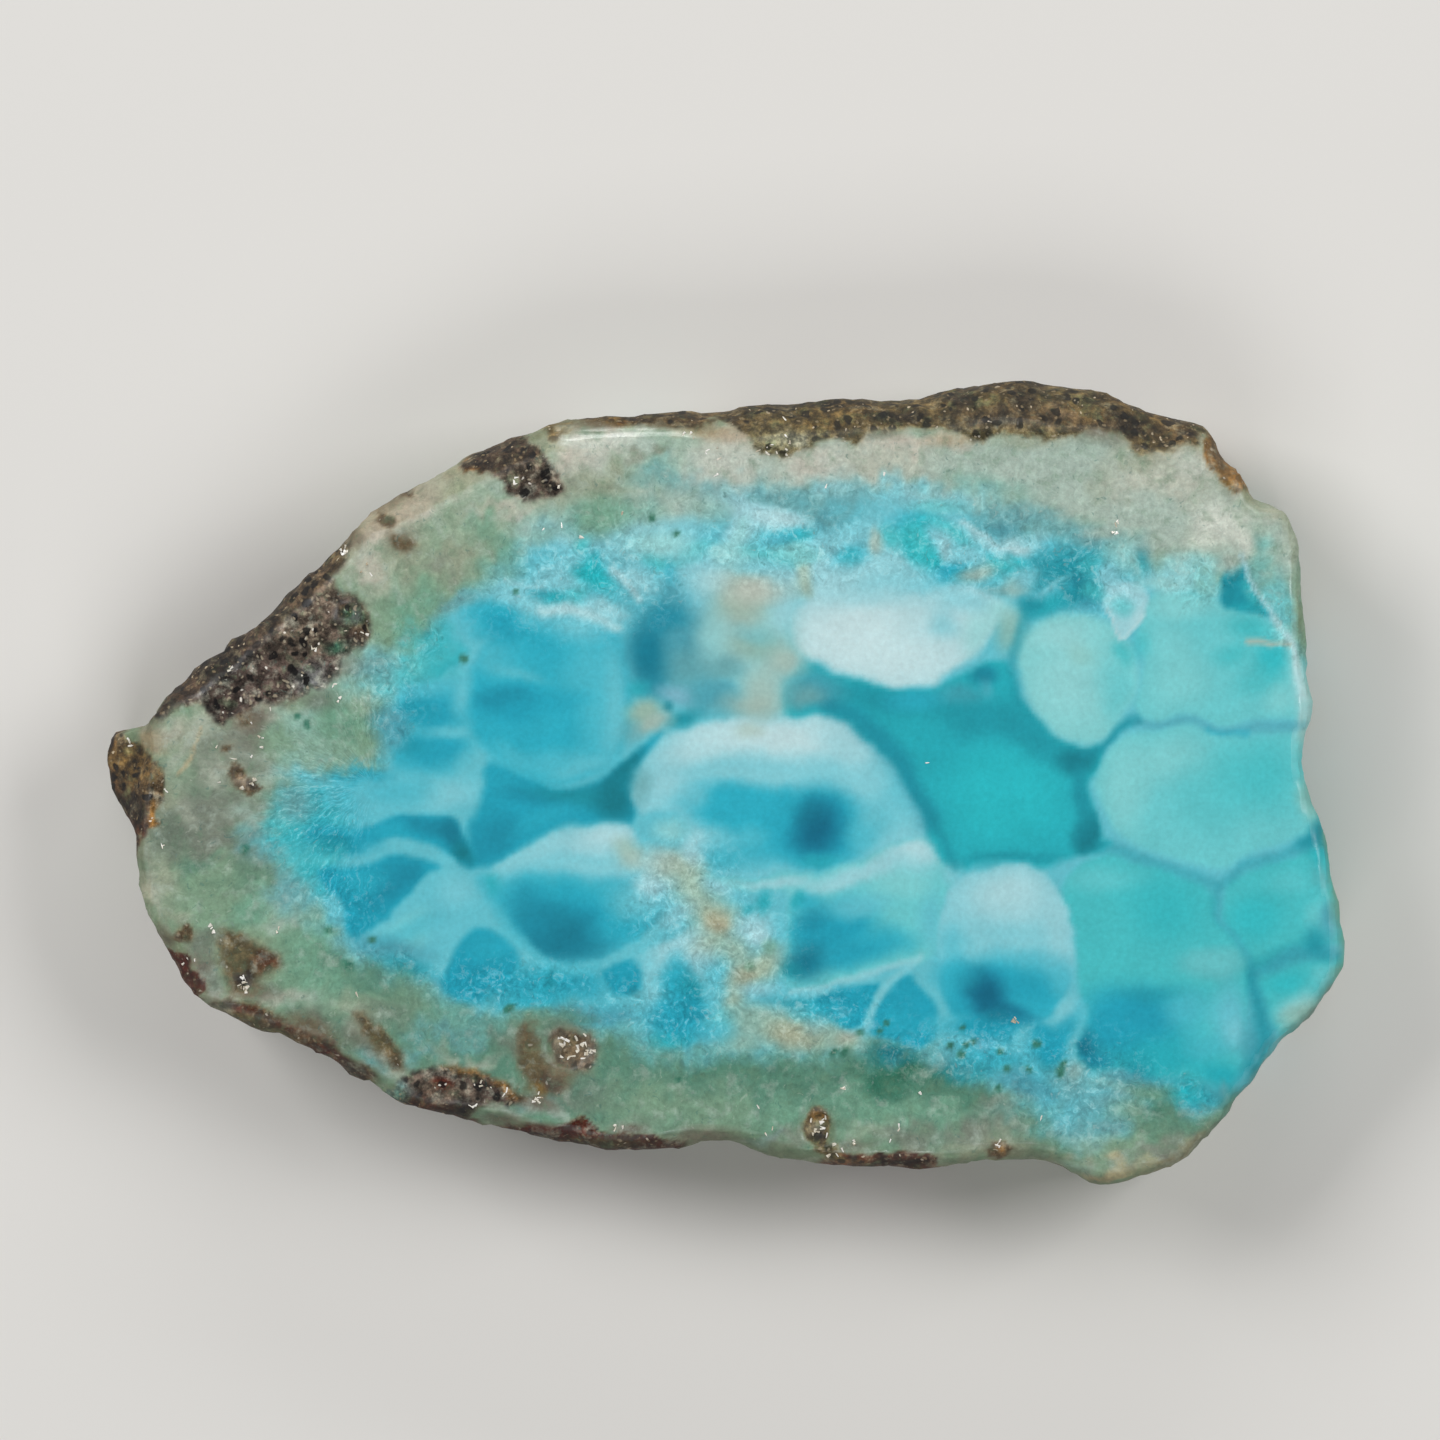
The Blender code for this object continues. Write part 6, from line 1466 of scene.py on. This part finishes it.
def apply(piece, kind, **settings):
    """Add a modifier with its settings and apply it."""
    modifier = piece.modifiers.new(kind.title(), kind)
    for name, value in settings.items():
        setattr(modifier, name, value)
    bpy.ops.object.modifier_apply(modifier=modifier.name)


def store(piece, name, values, kind, field):
    attribute = piece.data.attributes.new(name, kind, "POINT")
    attribute.data.foreach_set(field, np.ascontiguousarray(values, np.float32).ravel())


def read(items, field):
    """A vector of each point or face of a mesh, in rows."""
    flat = np.empty(len(items) * 3)
    items.foreach_get(field, flat)
    return flat.reshape(-1, 3)


def remeshed_slab(stone):
    """An even-meshed copy of the packed slab, finer on the polished face."""
    select_only(frame["nodes"][SLAB])
    bpy.ops.object.duplicate()
    piece = bpy.context.active_object
    bpy.ops.object.parent_clear(type="CLEAR_KEEP_TRANSFORM")
    for mark in [key for key in piece.keys() if key.startswith("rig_")]:
        del piece[mark]
    piece.name = piece.data.name = "polished_stone"
    bpy.ops.object.mode_set(mode="EDIT")
    bpy.ops.mesh.select_all(action="SELECT")
    bpy.ops.mesh.remove_doubles(threshold=0.001 * MM)
    bpy.ops.object.mode_set(mode="OBJECT")
    apply(piece, "REMESH", mode="VOXEL", voxel_size=stone.mesh_step, adaptivity=0.0)
    return piece


def refine_face(piece, stone):
    """Cut the mesh of the polished face finer."""
    bpy.ops.object.mode_set(mode="EDIT")
    bpy.ops.mesh.select_mode(type="FACE")
    bpy.ops.mesh.select_all(action="DESELECT")
    bpy.ops.object.mode_set(mode="OBJECT")
    faces = piece.data.polygons
    upward = read(faces, "normal")[:, 2] > 0.5
    high = read(faces, "center")[:, 2] > (FACE_HEIGHT - FINE_DEPTH) * MM
    faces.foreach_set("select", upward & high)
    bpy.ops.object.mode_set(mode="EDIT")
    bpy.ops.mesh.subdivide(number_cuts=stone.face_cuts, ngon=False)
    bpy.ops.object.mode_set(mode="OBJECT")


def sawn_edge(piece, places):
    """How far each point lies on the dull sawn rim; the polish rolls over one shoulder."""
    turned = ease((LEVEL - read(piece.data.vertex_normals, "vector")[:, 2]) / EDGE_FADE)
    x, y, length, width, soft = POLISHED_SHOULDER
    shoulder = np.hypot((places[:, 0] - x) / length, (places[:, 1] - y) / width)
    return turned * ease((shoulder - 1 + soft) / (2 * soft))


def nudge(piece, stone):
    """Bring the rim to the ragged line of the real stone, a few tenths of a millimetre out."""
    places = read(piece.data.vertices, "co") / MM
    places[:, 1] *= stone.rim_stretch
    for x, y, reach, across, up in RIM_NUDGES:
        share = ease(1 - np.hypot(places[:, 0] - x, places[:, 1] - y) / reach)
        places[:, 0] += across * share
        places[:, 1] += up * share
    piece.data.vertices.foreach_set("co", (places * MM).ravel())
    return places


def roughen(piece, places, rough, depth):
    """Push the rough parts in and out along their normals: host rock, rim and sides."""
    bumps = sum(share * mottle(places.T, size, seed) for share, size, seed in RIM_BUMPS)
    normals = read(piece.data.vertex_normals, "vector")
    moved = places + normals * (bumps * rough)[:, None] * depth / MM
    # The sawn back stays flat on the table
    low = places[:, 2] < BACK_ZONE
    moved[low, 2] = places[low, 2]
    piece.data.vertices.foreach_set("co", (moved * MM).ravel())
    piece.data.update()


class LARIMAR_OT_stone(bpy.types.Operator):
    """Dress the slab: even mesh, painted cells, host rock grain and polish"""

    bl_idname = "larimar.stone"
    bl_label = "Polished Stone"

    def execute(self, context):
        stone = context.scene.larimar_stone
        piece = remeshed_slab(stone)
        refine_face(piece, stone)
        places = nudge(piece, stone)
        colour, rock, border, wisps, around, length = paint(places.T)
        edge = sawn_edge(piece, places)
        opaque = np.ones(len(colour))
        store(piece, "stone_colour", np.column_stack((colour, opaque)), "FLOAT_COLOR", "color")
        shares = {"host_rock": rock, "border_zone": border, "wisps": wisps, "sawn_edge": edge}
        for name, share in shares.items():
            store(piece, name, share, "FLOAT", "value")
        fibre = np.column_stack((around, length, places[:, 2])) * MM
        store(piece, "fibre", fibre, "FLOAT_VECTOR", "vector")
        roughen(piece, places, np.maximum(ROCK_ROUGHNESS * rock, edge), stone.rim_relief)
        bpy.ops.object.shade_smooth_by_angle(angle=math.radians(40))
        piece.data.materials.clear()
        piece.data.materials.append(polished_larimar())
        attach(piece, "root")
        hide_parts(SLAB)
        return {"FINISHED"}


class LARIMAR_OT_crystals(bpy.types.Operator):
    """Set small crystal shards in the pits and along the host rock"""

    bl_idname = "larimar.crystals"
    bl_label = "Pit Crystals"

    def execute(self, context):
        stone = bpy.data.objects.get("polished_stone")
        if stone is None:
            raise RuntimeError("The crystals need the polished stone first")
        crystals = context.scene.larimar_crystals
        dice = random.Random(crystals.seed)
        bpy.ops.object.select_all(action="DESELECT")
        shards = []
        for x, y, spread, count, size in CRYSTALS:
            for _ in range(count):
                across, up = ((value + dice.uniform(-spread, spread)) * MM for value in (x, y))
                hit, seat, _, _ = stone.ray_cast((across, up, 2 * FACE_HEIGHT * MM), (0, 0, -1))
                if not hit:
                    raise RuntimeError(f"The crystal at {x}, {y} lies off the stone")
                length = crystals.shard_length * size * dice.uniform(0.6, 1.3)
                width = length * crystals.shard_width
                tilt, roll = math.pi / 2 + dice.uniform(-0.5, 0.5), dice.uniform(0, 1.0)
                bpy.ops.mesh.primitive_cone_add(
                    vertices=6, radius1=0.5, radius2=0.2, depth=1.0, scale=(width, width * 0.8, length),
                    rotation=(tilt, roll, dice.uniform(0, math.tau)),
                    location=(across, up, seat.z + crystals.proud - 0.4 * width),
                )
                shards.append(context.active_object)
        for shard in shards:
            shard.select_set(True)
        bpy.ops.object.join()
        bpy.ops.object.transform_apply(location=True, rotation=True, scale=True)
        piece = context.active_object
        piece.name = piece.data.name = "pit_crystals"
        piece.data.materials.append(crystal())
        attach(piece, "root")
        return {"FINISHED"}


def area_light(name, place, size, power):
    """A soft box aimed at the stone."""
    bpy.ops.object.light_add(type="AREA", location=np.array(place) * MM)
    light = bpy.context.active_object
    light.name = name
    light.data.shape = "RECTANGLE"
    light.data.size, light.data.size_y = (side * MM for side in size)
    light.data.energy = power
    light.rotation_euler = (-light.location).to_track_quat("-Z", "Y").to_euler()


class LARIMAR_OT_stage(bpy.types.Operator):
    """Set up the pale floor, the soft lights and the camera"""

    bl_idname = "larimar.stage"
    bl_label = "Floor, Lights and Camera"

    def execute(self, context):
        stage = context.scene.larimar_stage
        bpy.ops.object.select_all(action="DESELECT")
        bpy.ops.mesh.primitive_plane_add(size=stage.floor_size, location=(0, 0, 0))
        floor = context.active_object
        floor.name = "studio_floor"
        material, tree = blank_material("matt_floor")
        finish(tree, {"Base Color": (*stage.floor_tint, 1.0), "Roughness": 0.9})
        floor.data.materials.append(material)
        for name, place, size, power in LIGHTS:
            area_light(name, place, size, power * stage.light_power)
        world = context.scene.world or bpy.data.worlds.new("studio_air")
        context.scene.world = world
        world.use_nodes = True
        sky = world.node_tree.nodes.get("Background") or world.node_tree.nodes.new("ShaderNodeBackground")
        sky.inputs["Color"].default_value = (1.0, 1.0, 1.0, 1.0)
        sky.inputs["Strength"].default_value = STUDIO_AIR
        above = FACE_HEIGHT * MM + stage.camera_height
        bpy.ops.object.camera_add(location=(stage.view_x, stage.view_y, above), rotation=(0, 0, 0))
        camera = context.active_object
        camera.name = "studio_camera"
        camera.data.lens = camera.data.sensor_width * stage.camera_height / stage.view_width
        camera.data.clip_start = 0.01
        context.scene.camera = camera
        context.scene.view_settings.view_transform = "Standard"
        return {"FINISHED"}


class LARIMAR_PT_panel(bpy.types.Panel):
    """Sizes, colours and buttons of the larimar slab"""

    bl_label = "Larimar Slab"
    bl_idname = "LARIMAR_PT_panel"
    bl_space_type = "VIEW_3D"
    bl_region_type = "UI"
    bl_category = "Larimar"

    def draw(self, context):
        scene = context.scene
        for title, settings, button in (
            ("Stone", scene.larimar_stone, LARIMAR_OT_stone),
            ("Crystals", scene.larimar_crystals, LARIMAR_OT_crystals),
            ("Stage", scene.larimar_stage, LARIMAR_OT_stage),
            ("Tints", scene.larimar_tints, None),
        ):
            box = self.layout.box()
            box.label(text=title)
            for name in settings.__annotations__:
                box.prop(settings, name)
            if button:
                box.operator(button.bl_idname)


SETTINGS = {
    "larimar_stone": LarimarStoneSettings,
    "larimar_crystals": LarimarCrystalSettings,
    "larimar_stage": LarimarStageSettings,
    "larimar_tints": LarimarTints,
}
CLASSES = (*SETTINGS.values(), LARIMAR_OT_stone, LARIMAR_OT_crystals, LARIMAR_OT_stage, LARIMAR_PT_panel)


def register():
    for item in CLASSES:
        bpy.utils.register_class(item)
    for name, group in SETTINGS.items():
        setattr(bpy.types.Scene, name, bpy.props.PointerProperty(type=group))


def unregister():
    for name in SETTINGS:
        delattr(bpy.types.Scene, name)
    for item in reversed(CLASSES):
        bpy.utils.unregister_class(item)


def main():
    register()
    bpy.ops.larimar.stone()
    bpy.ops.larimar.crystals()
    bpy.ops.larimar.stage()


if __name__ == "__main__":
    main()
